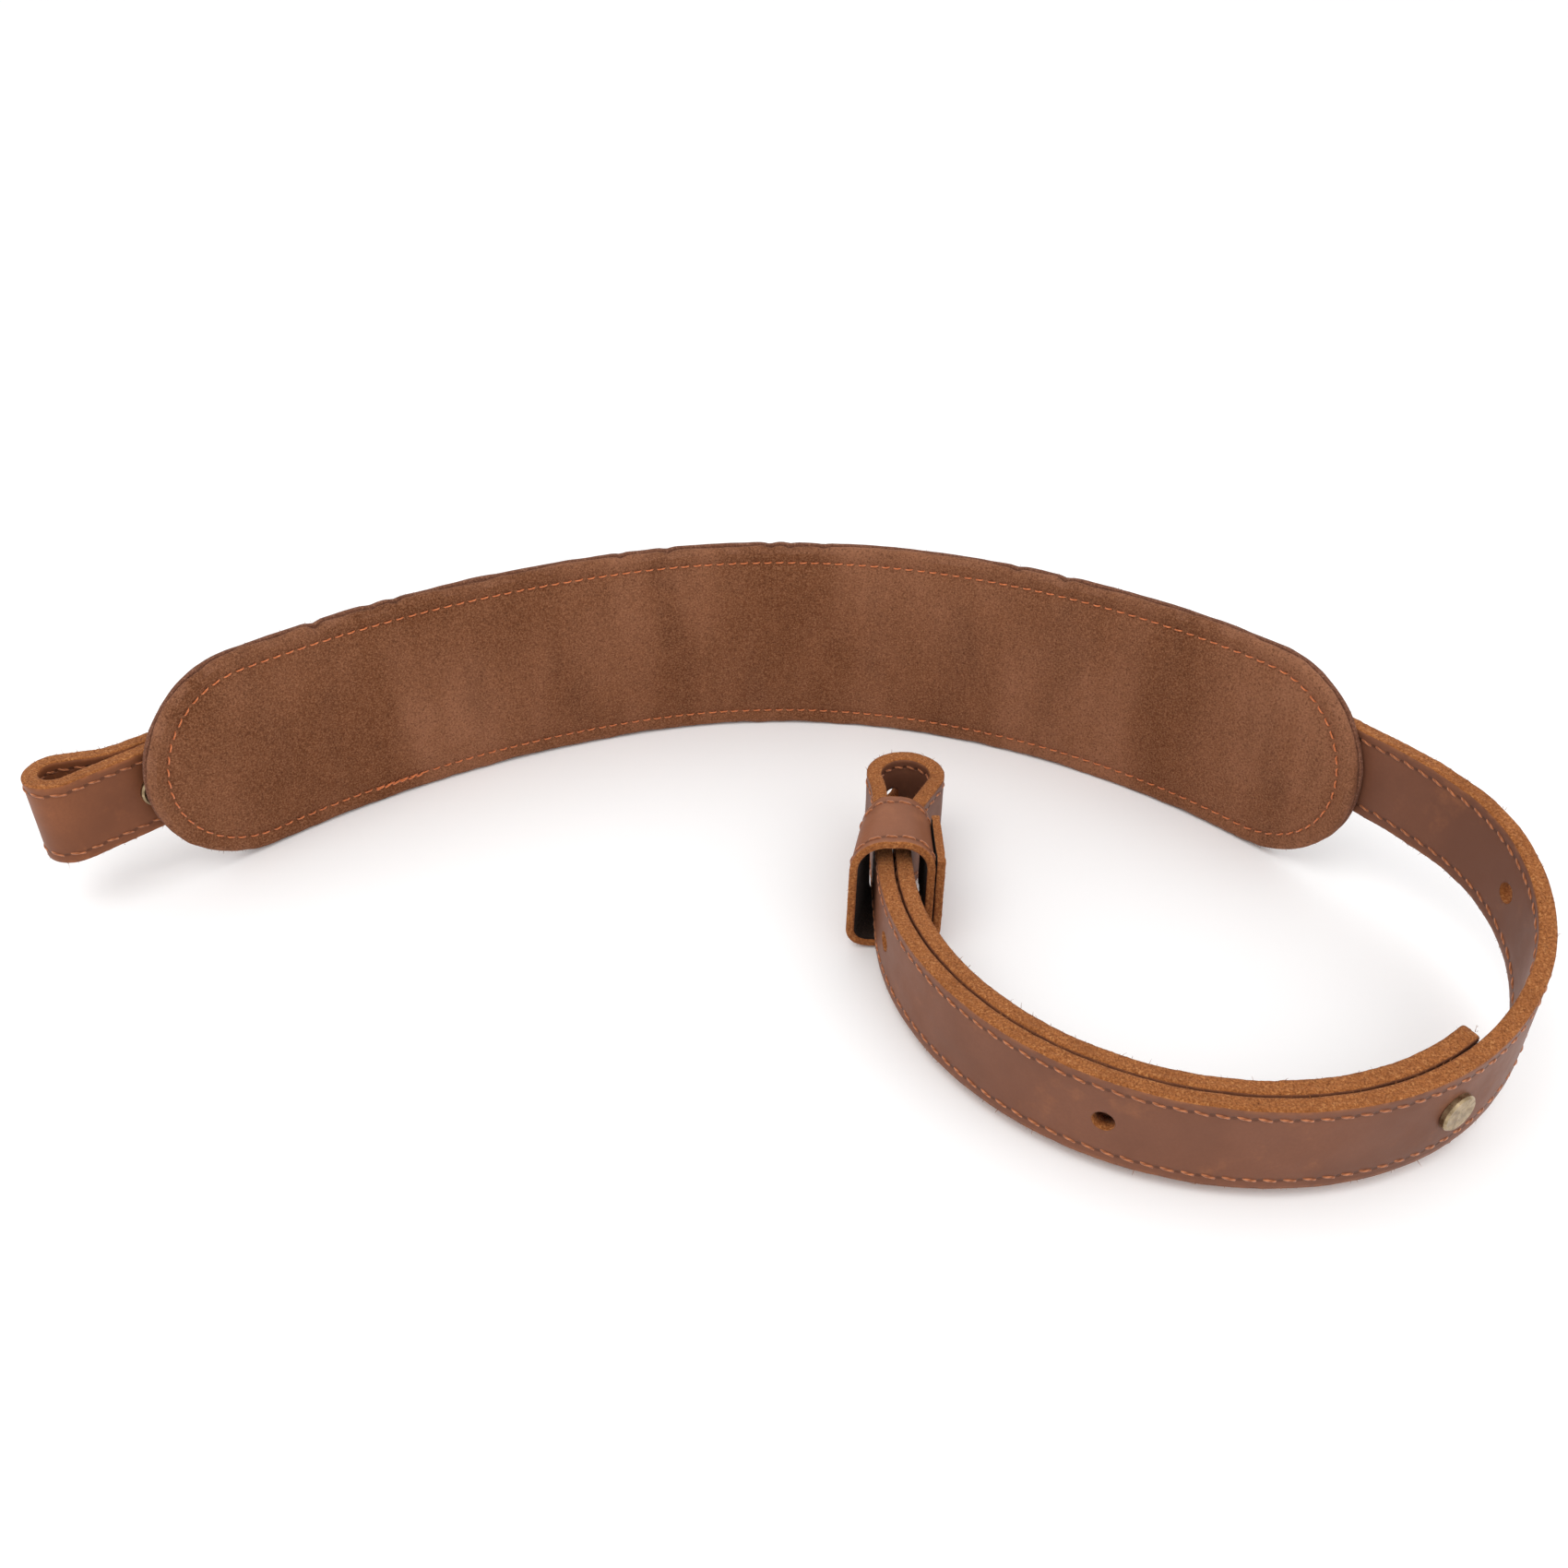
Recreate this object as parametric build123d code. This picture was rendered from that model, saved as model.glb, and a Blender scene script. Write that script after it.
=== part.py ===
from build123d import *
import os
from math import cos, radians, sin

# Padded leather shoulder strap, lying on its lower edges. Millimetres, +Z up.
# The pad stands in an arc; a short closed loop leaves its left end, and a long strap leaves its
# right end, curls round to the front, folds back on itself through a keeper and is held by a screw.
# Every plan line is a route of tangent straights and arcs, and left of travel is a positive offset.

# Leather, thread and strap section
LAYER = 2.1                    # one leather layer
STRAP = 2 * LAYER              # a strap is two layers sewn back to back
STRAP_WIDTH = 25.4
THREAD_PROUD = 0.3             # how far a seam stands out of the leather
THREAD_WIDTH = 0.8
SEAM_INSET = 2.6               # strap edge to the near side of its seam
UPPER_SEAM = STRAP_WIDTH - SEAM_INSET - THREAD_WIDTH

# Pad
PAD_LEFT_END = (-163.04, 7.8)
PAD_LEFT_HEADING = 50.5
PAD_STEPS = [(153.8, -34.4), (97.5, -34.4), (135.2, -38.9)]   # arc length and turn
PAD_HEIGHT = 64.6
SUEDE = 1.2
PAD_LEATHER = 1.6
PAD_THICKNESS = 4.6
TURNED_RIM = 3.0               # width of the suede turned in round the edge
PAD_SEAM_INSET = 4.7
INNER_PLAY = 0.2               # foam to its neighbours

# Straps on the back of the pad
TAB_SEWN = 38.0                # length of strap sewn to the pad's back
RIGHT_TAB_FROM_END = 22.0      # pad's end to the end of the sewn length
RIGHT_TAB_BASE = 25.0          # height of the strap's lower edge on the pad
RIGHT_TAB_FREE = 27.0          # loose length that stays with the pad, up to the flex line
LEFT_TAB_FROM_END = 26.0
LEFT_TAB_FREE = 7.5
LEFT_TAB_BASE = 17.3
LEFT_FLEX_GAP = 1.5
RIGHT_FLEX_GAP = 1.2

# Long strap, along its mid-surface
LONG_BASE = 3.0                # lower edge where the strap lies low
LONG_LEAVING = (47.5, -4.2)
LONG_RIGHT_BEND = (60.4, -70.4)
LONG_FRONT_RADIUS = 82.2
LONG_FRONT_TURN = 144.5
LONG_STRAIGHT = 33.4
LONG_FOLD = dict(lead_radius=40.0, lead_turn=12.0, radius=9.0, closing_turn=28.0, closing_radius=20.0)
SCREW_TURN = 120.3             # round the front arc, back from its end to the screw
HOLES_FROM_SCREW = (-71.0, 81.0, 158.0, 226.0)
HOLE_RADIUS = 2.75

# Left loop, along its mid-surface
LEFT_LEAVING = (10.0, -12.0)
LEFT_BEND = (12.0, 12.5)
LEFT_STRAIGHT = 21.2
LEFT_FOLD = dict(lead_radius=0.0, lead_turn=0.0, radius=6.4, closing_turn=31.0, closing_radius=17.0)
LEFT_SCREW_FROM_TAB = 21.3
LEFT_SEAM_START = 4.0          # the seam facing the pad starts this far past the flex line

# Folded-back ends of both straps
RUN_GAP = 0.8                  # between a strap and its folded-back run
RUN_PITCH = STRAP + RUN_GAP
TAIL_PAST_SCREW = 12.0
TAIL_CORNER = 4.0

# Two-part screws
STACK = STRAP + RUN_PITCH      # both runs of a strap
HEAD_RADIUS = 5.0
HEAD_THICKNESS = 1.6
HEAD_BEVEL = 0.5
HEAD_SEAT = 0.3                # under the turning screw's head
POST_RADIUS = 2.5
POST_CLEARANCE = 0.1
SHANK_RADIUS = 1.95
SHANK_CLEARANCE = 0.05
SHANK_LENGTH = 5.5
POST_SHORT = 0.3               # post ends this far inside the leather
SLOT_WIDTH = 1.2
SLOT_DEPTH = 0.8

# Keeper, in its own section: across the strap and up
KEEPER_BAND = 2.2
KEEPER_LENGTH = 21.0           # along the strap
KEEPER_FROM_ARC = 11.0         # keeper's middle to the start of the front arc
KEEPER_BASE = 0.4
KEEPER_HEIGHT = 35.6
KEEPER_LEFT = -9.45            # outside of the ring, from the outer run's mid-surface
KEEPER_RIGHT = 13.15
KEEPER_TOP_RADIUS = 9.4
KEEPER_BOTTOM_RADIUS = 4.9
KEEPER_END_HEIGHT = 6.5        # inner end of the band above the base
FLAP_GAP = 0.35
FLAP_TOP = 29.5
KEEPER_SEAM_INSET = 2.4

TALL = 90.0                    # taller than anything here, for cutting to height


def advance(place, length, turn):
    """Move along a straight (turn 0) or an arc, and return the new x, y and heading."""
    x, y, heading = place
    half = radians(turn) / 2
    chord = length * (sin(half) / half if turn else 1)
    way = radians(heading) + half
    return x + chord * cos(way), y + chord * sin(way), heading + turn


def shifted(place, offset):
    """Point beside a place, on its left when the offset is positive."""
    x, y, heading = place
    return x - offset * sin(radians(heading)), y + offset * cos(radians(heading))


class Route:
    """A plan line of tangent straights and arcs."""

    def __init__(self, start, heading, steps):
        self.start = (start[0], start[1], heading)
        self.steps = steps
        self.length = sum(length for length, _ in steps)

    def at(self, distance):
        """Place at a distance along the route."""
        place = self.start
        for length, turn in self.steps:
            run = min(length, distance)
            place = advance(place, run, turn * run / length)
            distance -= run
            if distance <= 0:
                break
        return place

    def part(self, first, last):
        """Stretch of the route between two distances."""
        steps = []
        passed = 0
        for length, turn in self.steps:
            run = min(last, passed + length) - max(first, passed)
            if run > 1e-6:
                steps.append((run, turn * run / length))
            passed += length
        x, y, heading = self.at(first)
        return Route((x, y), heading, steps)

    def parallel(self, offset):
        """The route moved sideways."""
        steps = [(length - radians(turn) * offset, turn) for length, turn in self.steps]
        return Route(shifted(self.start, offset), self.start[2], steps)

    def side(self, offset):
        """Edges along the route at an offset."""
        edges = []
        place = self.start
        for length, turn in self.steps:
            middle = advance(place, length / 2, turn / 2)
            end = advance(place, length, turn)
            if turn:
                points = [shifted(p, offset) for p in (place, middle, end)]
                edges.append(ThreePointArc(*points).edge())
            else:
                edges.append(Line(shifted(place, offset), shifted(end, offset)).edge())
            place = end
        return edges

    def band(self, low, high):
        """Face between two offsets of the route."""
        right = self.side(low)
        left = self.side(high)
        first = Line(left[0] @ 0, right[0] @ 0).edge()
        last = Line(right[-1] @ 1, left[-1] @ 1).edge()
        return Face(Wire(right + [last] + left + [first]))

    def wall(self, low, high, base, height):
        """The band raised from a base height."""
        return Pos(0, 0, base) * extrude(self.band(low, high), height, dir=(0, 0, 1))


def backwards(steps):
    """The same steps travelled from their far end."""
    return [(length, -turn) for length, turn in reversed(steps)]


def across(place, z):
    """Plane across a strap: x along the strap, z out of its left face."""
    x, y, heading = place
    way = radians(heading)
    return Plane(origin=(x, y, z), x_dir=(cos(way), sin(way), 0), z_dir=(-sin(way), cos(way), 0))


def bore(place, z, radius):
    """Cutter for a hole through a strap."""
    return across(place, z) * Cylinder(radius, 4 * STRAP)


# Routes

pad_face = Route(PAD_LEFT_END, PAD_LEFT_HEADING, PAD_STEPS)
pad_back = pad_face.parallel(PAD_THICKNESS + LAYER)     # mid-surface of a strap on the pad's back


def fold(lead_radius, lead_turn, radius, closing_turn, closing_radius):
    """Steps that fold a strap back along its right side, and how far back they end."""
    lead = radians(lead_turn)
    close = radians(closing_turn)
    side = radius * (cos(lead) + cos(close)) - RUN_PITCH
    side -= lead_radius * (1 - cos(lead)) + closing_radius * (1 - cos(close))
    slope = side / sin(close)
    ahead = (lead_radius + radius) * sin(lead)
    back = (radius + closing_radius) * sin(close) + slope * cos(close) - ahead
    steps = [
        (lead_radius * lead, lead_turn),
        (radius * (radians(180) + lead + close), -180 - lead_turn - closing_turn),
        (slope, 0),
        (closing_radius * close, closing_turn),
    ]
    return [step for step in steps if step[0]], back


def folded_route(outward, folding, tail_end):
    """A strap's outward run, its fold, and its run back beside itself to the tail's end."""
    loop, back = fold(**folding)
    beside = outward.part(tail_end, outward.length - back).parallel(-RUN_PITCH)
    steps = outward.steps + loop + backwards(beside.steps)
    return Route(outward.start[:2], outward.start[2], steps)


def long_strap_route():
    """Mid-surface of the right tab and long strap, from the sewn end to the tail's end."""
    start = pad_back.length - RIGHT_TAB_FROM_END - TAB_SEWN
    sewn = pad_back.part(start, start + TAB_SEWN)
    arc = (LONG_FRONT_RADIUS * radians(LONG_FRONT_TURN), -LONG_FRONT_TURN)
    steps = sewn.steps + [LONG_LEAVING, LONG_RIGHT_BEND, arc, (LONG_STRAIGHT, 0)]
    outward = Route(sewn.start[:2], sewn.start[2], steps)
    return folded_route(outward, LONG_FOLD, SCREW_AT - TAIL_PAST_SCREW)


def left_loop_route():
    """Mid-surface of the left tab and loop, from the sewn end to the tail's end."""
    sewn = pad_back.part(LEFT_TAB_FROM_END, LEFT_TAB_FROM_END + TAB_SEWN)
    x, y, heading = sewn.at(sewn.length)
    steps = backwards(sewn.steps) + [LEFT_LEAVING, LEFT_BEND, (LEFT_STRAIGHT, 0)]
    outward = Route((x, y), heading + 180, steps)
    return folded_route(outward, LEFT_FOLD, LEFT_SCREW_AT - TAIL_PAST_SCREW)


LONG_FLEX_AT = TAB_SEWN + RIGHT_TAB_FREE                # flex line of the long strap
LEFT_FLEX_AT = TAB_SEWN + LEFT_TAB_FREE                 # flex line of the left loop
ARC_AT = TAB_SEWN + LONG_LEAVING[0] + LONG_RIGHT_BEND[0]
ARC_END = ARC_AT + LONG_FRONT_RADIUS * radians(LONG_FRONT_TURN)
SCREW_AT = ARC_END - LONG_FRONT_RADIUS * radians(SCREW_TURN)
HOLES_AT = [SCREW_AT + distance for distance in HOLES_FROM_SCREW]
LEFT_SCREW_AT = TAB_SEWN + LEFT_SCREW_FROM_TAB

long_line = long_strap_route()
left_line = left_loop_route()

flex_place = long_line.at(LONG_FLEX_AT)
front_place = long_line.at(ARC_END - LONG_FRONT_RADIUS * radians(90))   # nearest the front
arc_centre = shifted(long_line.at(ARC_END), -LONG_FRONT_RADIUS)


def long_base(y, x):
    """Height of the long strap's lower edge: level in front, rising to the tab on the right."""
    if x < front_place[0]:
        return LONG_BASE
    t = (y - front_place[1]) / (flex_place[1] - front_place[1])
    t = min(max(t, 0), 1)
    return LONG_BASE + (RIGHT_TAB_BASE - LONG_BASE) * (3 * t ** 2 - 2 * t ** 3)


def long_slice(low, high):
    """Space between two heights above the long strap's lower edge."""
    y0 = front_place[1]
    y1 = flex_place[1]
    third = (y1 - y0) / 3

    def rise(height):
        z0 = LONG_BASE + height
        z1 = RIGHT_TAB_BASE + height
        return Bezier((0, y0, z0), (0, y0 + third, z0), (0, y1 - third, z1), (0, y1, z1))

    beyond = 20
    front = y0 - beyond
    back = y1 + beyond
    z_front = (LONG_BASE + low, LONG_BASE + high)
    z_back = (RIGHT_TAB_BASE + low, RIGHT_TAB_BASE + high)
    outline = [
        Line((0, front, z_front[0]), (0, y0, z_front[0])),
        rise(low),
        Line((0, y1, z_back[0]), (0, back, z_back[0])),
        Line((0, back, z_back[0]), (0, back, z_back[1])),
        Line((0, back, z_back[1]), (0, y1, z_back[1])),
        rise(high),
        Line((0, y0, z_front[1]), (0, front, z_front[1])),
        Line((0, front, z_front[1]), (0, front, z_front[0])),
    ]
    side = Face(Wire([line.edge() for line in outline]))
    reach = 2 * LONG_FRONT_RADIUS
    rising = Pos(front_place[0], 0, 0) * extrude(side, reach, dir=(1, 0, 0))
    level = Pos(front_place[0] - reach / 2, y0 - beyond + reach, (z_front[0] + z_front[1]) / 2)
    return rising + level * Box(reach, 2 * reach, high - low)


# Pad


def pad_blank(inset, low, high):
    """Pad outline with round ends, drawn in by an inset, between two offsets of its face."""
    radius = PAD_HEIGHT / 2 - inset
    shape = pad_face.wall(low, high, inset, 2 * radius)
    for place, way in ((pad_face.at(PAD_HEIGHT / 2), -1),
                       (pad_face.at(pad_face.length - PAD_HEIGHT / 2), 1)):
        plane = across(place, PAD_HEIGHT / 2)
        reach = PAD_HEIGHT
        beyond = plane * Pos(way * reach / 2, 0, 0) * Box(reach, 2 * PAD_HEIGHT, reach)
        shape -= beyond - plane * Cylinder(radius, 2 * reach)
    return shape


def pad_suede_lining():
    """Suede front with its edge turned in all round."""
    rim_back = PAD_THICKNESS - PAD_LEATHER
    rim = pad_blank(0, SUEDE, rim_back) - pad_blank(TURNED_RIM, SUEDE, rim_back)
    return pad_blank(0, 0, SUEDE) + rim


def pad_foam_core():
    back = PAD_THICKNESS - PAD_LEATHER - INNER_PLAY
    return pad_blank(TURNED_RIM + INNER_PLAY, SUEDE + INNER_PLAY, back)


def pad_leather_back():
    return pad_blank(0, PAD_THICKNESS - PAD_LEATHER, PAD_THICKNESS)


def pad_edge_stitching():
    """Seam that runs right round the pad's face."""
    outer = pad_blank(PAD_SEAM_INSET, -THREAD_PROUD, 0)
    return outer - pad_blank(PAD_SEAM_INSET + THREAD_WIDTH, -THREAD_PROUD, 0)


# Straps


def tab_layer(line, length, low, high, base):
    return line.part(0, length).wall(low, high, base, STRAP_WIDTH)


def tab_stitching(line, length, face, base):
    """Seams on the back of a tab: two along it and two across its sewn length."""
    low, high = sorted((face, face + THREAD_PROUD * (1 if face > 0 else -1)))
    whole = line.part(0, length)
    lower = whole.wall(low, high, base + SEAM_INSET, THREAD_WIDTH)
    upper = whole.wall(low, high, base + UPPER_SEAM, THREAD_WIDTH)
    first = line.part(SEAM_INSET, SEAM_INSET + THREAD_WIDTH)
    last = line.part(TAB_SEWN - SEAM_INSET - THREAD_WIDTH, TAB_SEWN - SEAM_INSET)
    inside = STRAP_WIDTH - 2 * SEAM_INSET
    crossings = [row.wall(low, high, base + SEAM_INSET, inside) for row in (first, last)]
    return lower + upper + crossings[0] + crossings[1]


def round_tail(solid, place):
    """Round the two corners at a strap's free end."""
    end = Vector(place[0], place[1], 0)
    normal = across(place, 0).z_dir

    def at_end(edge):
        middle = edge @ 0.5
        near = (Vector(middle.X, middle.Y, 0) - end).length < STRAP
        return near and abs((edge % 0.5).dot(normal)) > 0.9

    return fillet([edge for edge in solid.edges() if at_end(edge)], TAIL_CORNER)


def long_layer(low, high):
    """One layer of the long strap, with the adjusting holes and both screw holes."""
    free = long_line.part(LONG_FLEX_AT + RIGHT_FLEX_GAP / 2, long_line.length)
    shape = free.wall(low, high, 0, TALL) & long_slice(0, STRAP_WIDTH)
    shape = round_tail(shape, long_line.at(long_line.length))
    for distance in HOLES_AT:
        place = long_line.at(distance)
        middle = long_base(place[1], place[0]) + STRAP_WIDTH / 2
        hole = across(place, middle) * Cylinder(HOLE_RADIUS, STRAP + RUN_GAP)
        shape -= hole
    place = long_line.at(SCREW_AT)
    middle = long_base(place[1], place[0]) + STRAP_WIDTH / 2
    return shape - bore(place, middle, POST_RADIUS + POST_CLEARANCE)


def long_stitching(height):
    """Seam on both faces of the long strap at a height above its lower edge."""
    margin = SEAM_INSET
    free = long_line.part(LONG_FLEX_AT + RIGHT_FLEX_GAP / 2, long_line.length - margin)
    outside = free.wall(LAYER, LAYER + THREAD_PROUD, 0, TALL)
    inside = free.wall(-LAYER - THREAD_PROUD, -LAYER, 0, TALL)
    space = long_slice(height, height + THREAD_WIDTH)
    return (outside & space) + (inside & space)


def left_layer(low, high):
    """One layer of the left loop, with both holes for its screw."""
    free = left_line.part(LEFT_FLEX_AT + LEFT_FLEX_GAP / 2, left_line.length)
    shape = free.wall(low, high, LEFT_TAB_BASE, STRAP_WIDTH)
    shape = round_tail(shape, left_line.at(left_line.length))
    middle = LEFT_TAB_BASE + STRAP_WIDTH / 2
    return shape - bore(left_line.at(LEFT_SCREW_AT), middle, POST_RADIUS + POST_CLEARANCE)


def left_stitching(height):
    """Seam on both faces of the left loop at a height above its lower edge."""
    base = LEFT_TAB_BASE + height
    last = left_line.length - SEAM_INSET
    outside = left_line.part(LEFT_FLEX_AT + LEFT_SEAM_START, last)
    inside = left_line.part(LEFT_FLEX_AT + LEFT_FLEX_GAP / 2, last)
    seam = outside.wall(LAYER, LAYER + THREAD_PROUD, base, THREAD_WIDTH)
    return seam + inside.wall(-LAYER - THREAD_PROUD, -LAYER, base, THREAD_WIDTH)


# Screws


def domed_disc(radius, thickness):
    """Flat head with a bevelled rim, lying on z = 0 with its bevel up."""
    disc = Pos(0, 0, thickness / 2) * Cylinder(radius, thickness)
    rim = disc.edges().filter_by(GeomType.CIRCLE).sort_by(Axis.Z)[-1]
    return chamfer(rim, HEAD_BEVEL)


def screw_post(place, z):
    """Plain head on the strap's left face, and a bored barrel through both runs."""
    plane = across(place, z)
    barrel_length = STACK - POST_SHORT
    barrel = Pos(0, 0, -barrel_length / 2) * Cylinder(POST_RADIUS, barrel_length)
    depth = SHANK_LENGTH + 1
    hole = Pos(0, 0, -barrel_length + depth / 2) * Cylinder(SHANK_RADIUS + SHANK_CLEARANCE, depth)
    post = domed_disc(HEAD_RADIUS, HEAD_THICKNESS) + barrel - hole
    return plane * Pos(0, 0, LAYER) * post


def screw(place, z):
    """Slotted head on the far face of both runs, with its shank in the post."""
    head = Rot(180, 0, 0) * domed_disc(HEAD_RADIUS, HEAD_THICKNESS)
    slot = Pos(0, 0, -HEAD_THICKNESS + SLOT_DEPTH / 2)
    head -= slot * Box(2 * HEAD_RADIUS, SLOT_WIDTH, SLOT_DEPTH)
    shank = Pos(0, 0, SHANK_LENGTH / 2) * Cylinder(SHANK_RADIUS, SHANK_LENGTH)
    return across(place, z) * Pos(0, 0, LAYER - STACK - HEAD_SEAT) * (head + shank)


# Keeper

keeper_place = long_line.at(ARC_END + KEEPER_FROM_ARC)
keeper_wall = KEEPER_BAND / 2


def keeper_route():
    """Middle of the band, seen along the strap: x towards the return run, y up."""
    right = KEEPER_RIGHT - keeper_wall
    left = KEEPER_LEFT + keeper_wall
    top = KEEPER_BASE + KEEPER_HEIGHT - keeper_wall
    bottom = KEEPER_BASE + keeper_wall
    end = KEEPER_BASE + KEEPER_END_HEIGHT
    flap = KEEPER_RIGHT + FLAP_GAP + keeper_wall
    r_top = KEEPER_TOP_RADIUS - keeper_wall
    r_low = KEEPER_BOTTOM_RADIUS
    quarter_top = (r_top * radians(90), 90)
    quarter_low = (r_low * radians(90), 90)
    steps = [
        (top - r_top - end, 0),
        quarter_top,
        (right - left - 2 * r_top, 0),
        quarter_top,
        (top - bottom - r_top - r_low, 0),
        quarter_low,
        (flap - left - 2 * r_low, 0),
        quarter_low,
        (FLAP_TOP - bottom - r_low, 0),
    ]
    return Route((right, end), 90, steps)


def keeper_plane(along):
    """Section plane of the keeper, at a distance along the strap from the keeper's middle."""
    x, y, heading = keeper_place
    way = radians(heading)
    origin = (x + along * cos(way), y + along * sin(way), 0)
    return Plane(origin=origin, x_dir=(sin(way), -cos(way), 0), z_dir=(-cos(way), -sin(way), 0))


def keeper_band():
    profile = keeper_route().band(-keeper_wall, keeper_wall)
    return keeper_plane(KEEPER_LENGTH / 2) * extrude(profile, KEEPER_LENGTH)


def keeper_stitching(along):
    """Seam round the outside of the band, from above the flap to the flap's end."""
    route = keeper_route()
    start = route.steps[0][0]
    seam = route.part(start, route.length - SEAM_INSET)
    profile = seam.band(-keeper_wall - THREAD_PROUD, -keeper_wall)
    return keeper_plane(along) * extrude(profile, THREAD_WIDTH)


# Write every node

RIGHT_TAB_LENGTH = LONG_FLEX_AT - RIGHT_FLEX_GAP / 2
LEFT_TAB_LENGTH = LEFT_FLEX_AT - LEFT_FLEX_GAP / 2
long_screw_place = long_line.at(SCREW_AT)
long_screw_z = long_base(long_screw_place[1], long_screw_place[0]) + STRAP_WIDTH / 2
left_screw_place = left_line.at(LEFT_SCREW_AT)
left_screw_z = LEFT_TAB_BASE + STRAP_WIDTH / 2
keeper_row = KEEPER_LENGTH / 2 - KEEPER_SEAM_INSET

nodes = {
    "pad_suede_lining": pad_suede_lining(),
    "pad_foam_core": pad_foam_core(),
    "pad_leather_back": pad_leather_back(),
    "pad_edge_stitching": pad_edge_stitching(),
    "right_tab_outer_layer": tab_layer(long_line, RIGHT_TAB_LENGTH, 0, LAYER, RIGHT_TAB_BASE),
    "right_tab_inner_layer": tab_layer(long_line, RIGHT_TAB_LENGTH, -LAYER, 0, RIGHT_TAB_BASE),
    "right_tab_stitching": tab_stitching(long_line, RIGHT_TAB_LENGTH, LAYER, RIGHT_TAB_BASE),
    "left_tab_outer_layer": tab_layer(left_line, LEFT_TAB_LENGTH, 0, LAYER, LEFT_TAB_BASE),
    "left_tab_inner_layer": tab_layer(left_line, LEFT_TAB_LENGTH, -LAYER, 0, LEFT_TAB_BASE),
    "left_tab_stitching": tab_stitching(left_line, LEFT_TAB_LENGTH, -LAYER, LEFT_TAB_BASE),
    "long_strap_outer_layer": long_layer(0, LAYER),
    "long_strap_inner_layer": long_layer(-LAYER, 0),
    "long_strap_upper_stitching": long_stitching(UPPER_SEAM),
    "long_strap_lower_stitching": long_stitching(SEAM_INSET),
    "long_strap_screw_post": screw_post(long_screw_place, long_screw_z),
    "long_strap_screw": screw(long_screw_place, long_screw_z),
    "left_loop_outer_layer": left_layer(0, LAYER),
    "left_loop_inner_layer": left_layer(-LAYER, 0),
    "left_loop_upper_stitching": left_stitching(UPPER_SEAM),
    "left_loop_lower_stitching": left_stitching(SEAM_INSET),
    "left_loop_screw_post": screw_post(left_screw_place, left_screw_z),
    "left_loop_screw": screw(left_screw_place, left_screw_z),
    "keeper_band": keeper_band(),
    "keeper_near_stitching": keeper_stitching(-keeper_row),
    "keeper_far_stitching": keeper_stitching(keeper_row + THREAD_WIDTH),
}

os.makedirs("parts", exist_ok=True)
for name, shape in nodes.items():
    export_step(shape, f"parts/{name}.step")
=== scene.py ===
import math
import random

import bmesh
import bpy
import numpy as np
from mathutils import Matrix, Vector, noise


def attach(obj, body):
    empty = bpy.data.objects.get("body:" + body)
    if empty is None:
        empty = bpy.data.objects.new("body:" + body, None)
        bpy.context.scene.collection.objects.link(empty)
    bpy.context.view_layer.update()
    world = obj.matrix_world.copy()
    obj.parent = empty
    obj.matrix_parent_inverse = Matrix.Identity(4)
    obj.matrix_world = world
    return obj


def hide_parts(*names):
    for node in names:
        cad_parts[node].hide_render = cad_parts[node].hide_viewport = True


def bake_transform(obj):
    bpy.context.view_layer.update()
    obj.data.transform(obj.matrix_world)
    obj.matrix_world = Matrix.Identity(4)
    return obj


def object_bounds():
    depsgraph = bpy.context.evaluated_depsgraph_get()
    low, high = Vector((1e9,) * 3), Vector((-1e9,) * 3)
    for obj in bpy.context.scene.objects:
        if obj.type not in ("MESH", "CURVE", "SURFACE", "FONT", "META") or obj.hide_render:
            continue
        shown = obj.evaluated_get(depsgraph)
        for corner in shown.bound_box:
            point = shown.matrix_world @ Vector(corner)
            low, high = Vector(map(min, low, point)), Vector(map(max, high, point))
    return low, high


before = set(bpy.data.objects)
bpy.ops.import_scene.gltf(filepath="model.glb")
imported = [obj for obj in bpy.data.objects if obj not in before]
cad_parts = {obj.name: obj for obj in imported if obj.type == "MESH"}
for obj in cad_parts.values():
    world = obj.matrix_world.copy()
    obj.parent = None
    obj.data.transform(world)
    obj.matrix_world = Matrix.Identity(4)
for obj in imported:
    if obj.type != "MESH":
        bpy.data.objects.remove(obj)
cad_box = [list(corner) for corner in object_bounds()]

# The looks of a padded leather strap. Lengths are in millimetres unless a comment says otherwise,
# and MM turns them into the frame's metres. The plan lines repeat the part's: routes of tangent
# straights and arcs, with left of travel as a positive offset.
MM = 0.001
chance = random.Random(11)

# Leather, thread and strap section
LAYER = 2.1
STRAP = 2 * LAYER
STRAP_WIDTH = 25.4
SEAM_INSET = 3.0
STITCH_PITCH = 4.4
STITCH_SUNK = 0.2              # a seam's stitches lie this far into the face
CROSS_SUNK = 0.12              # and those across a tab this far
CROSS_LOW = 2.2                # they stay this clear of the lower seam
CROSS_HIGH = 1.8               # and this clear of the upper one
ROW_FROM = 2.5                 # from a tab's sewn end to its first stitch
ROW_LEAVES = 1.8               # a stitch nearer than this to a piece's end is the next piece's
ROW_JOINS = 1.7                # and that piece's rows begin this far before its start
ROW_SHORT = 4.0                # no stitches on this last stretch of a tail
FIBRES = 2.2                   # loose fibres on each mm of a cut edge

# Pad
PAD_LEFT_END = (-163.04, 7.8)
PAD_LEFT_HEADING = 50.5
PAD_STEPS = [(153.8, -34.4), (97.5, -34.4), (135.2, -38.9)]
PAD_HEIGHT = 64.6
PAD_THICKNESS = 4.6
PAD_SEAM_INSET = 5.1
PAD_PITCH = 3.7
LOCK_BACK = 46.0               # the seam's locking stitches begin this far before its lower left end
LOCK_PITCH = 2.6

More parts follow.
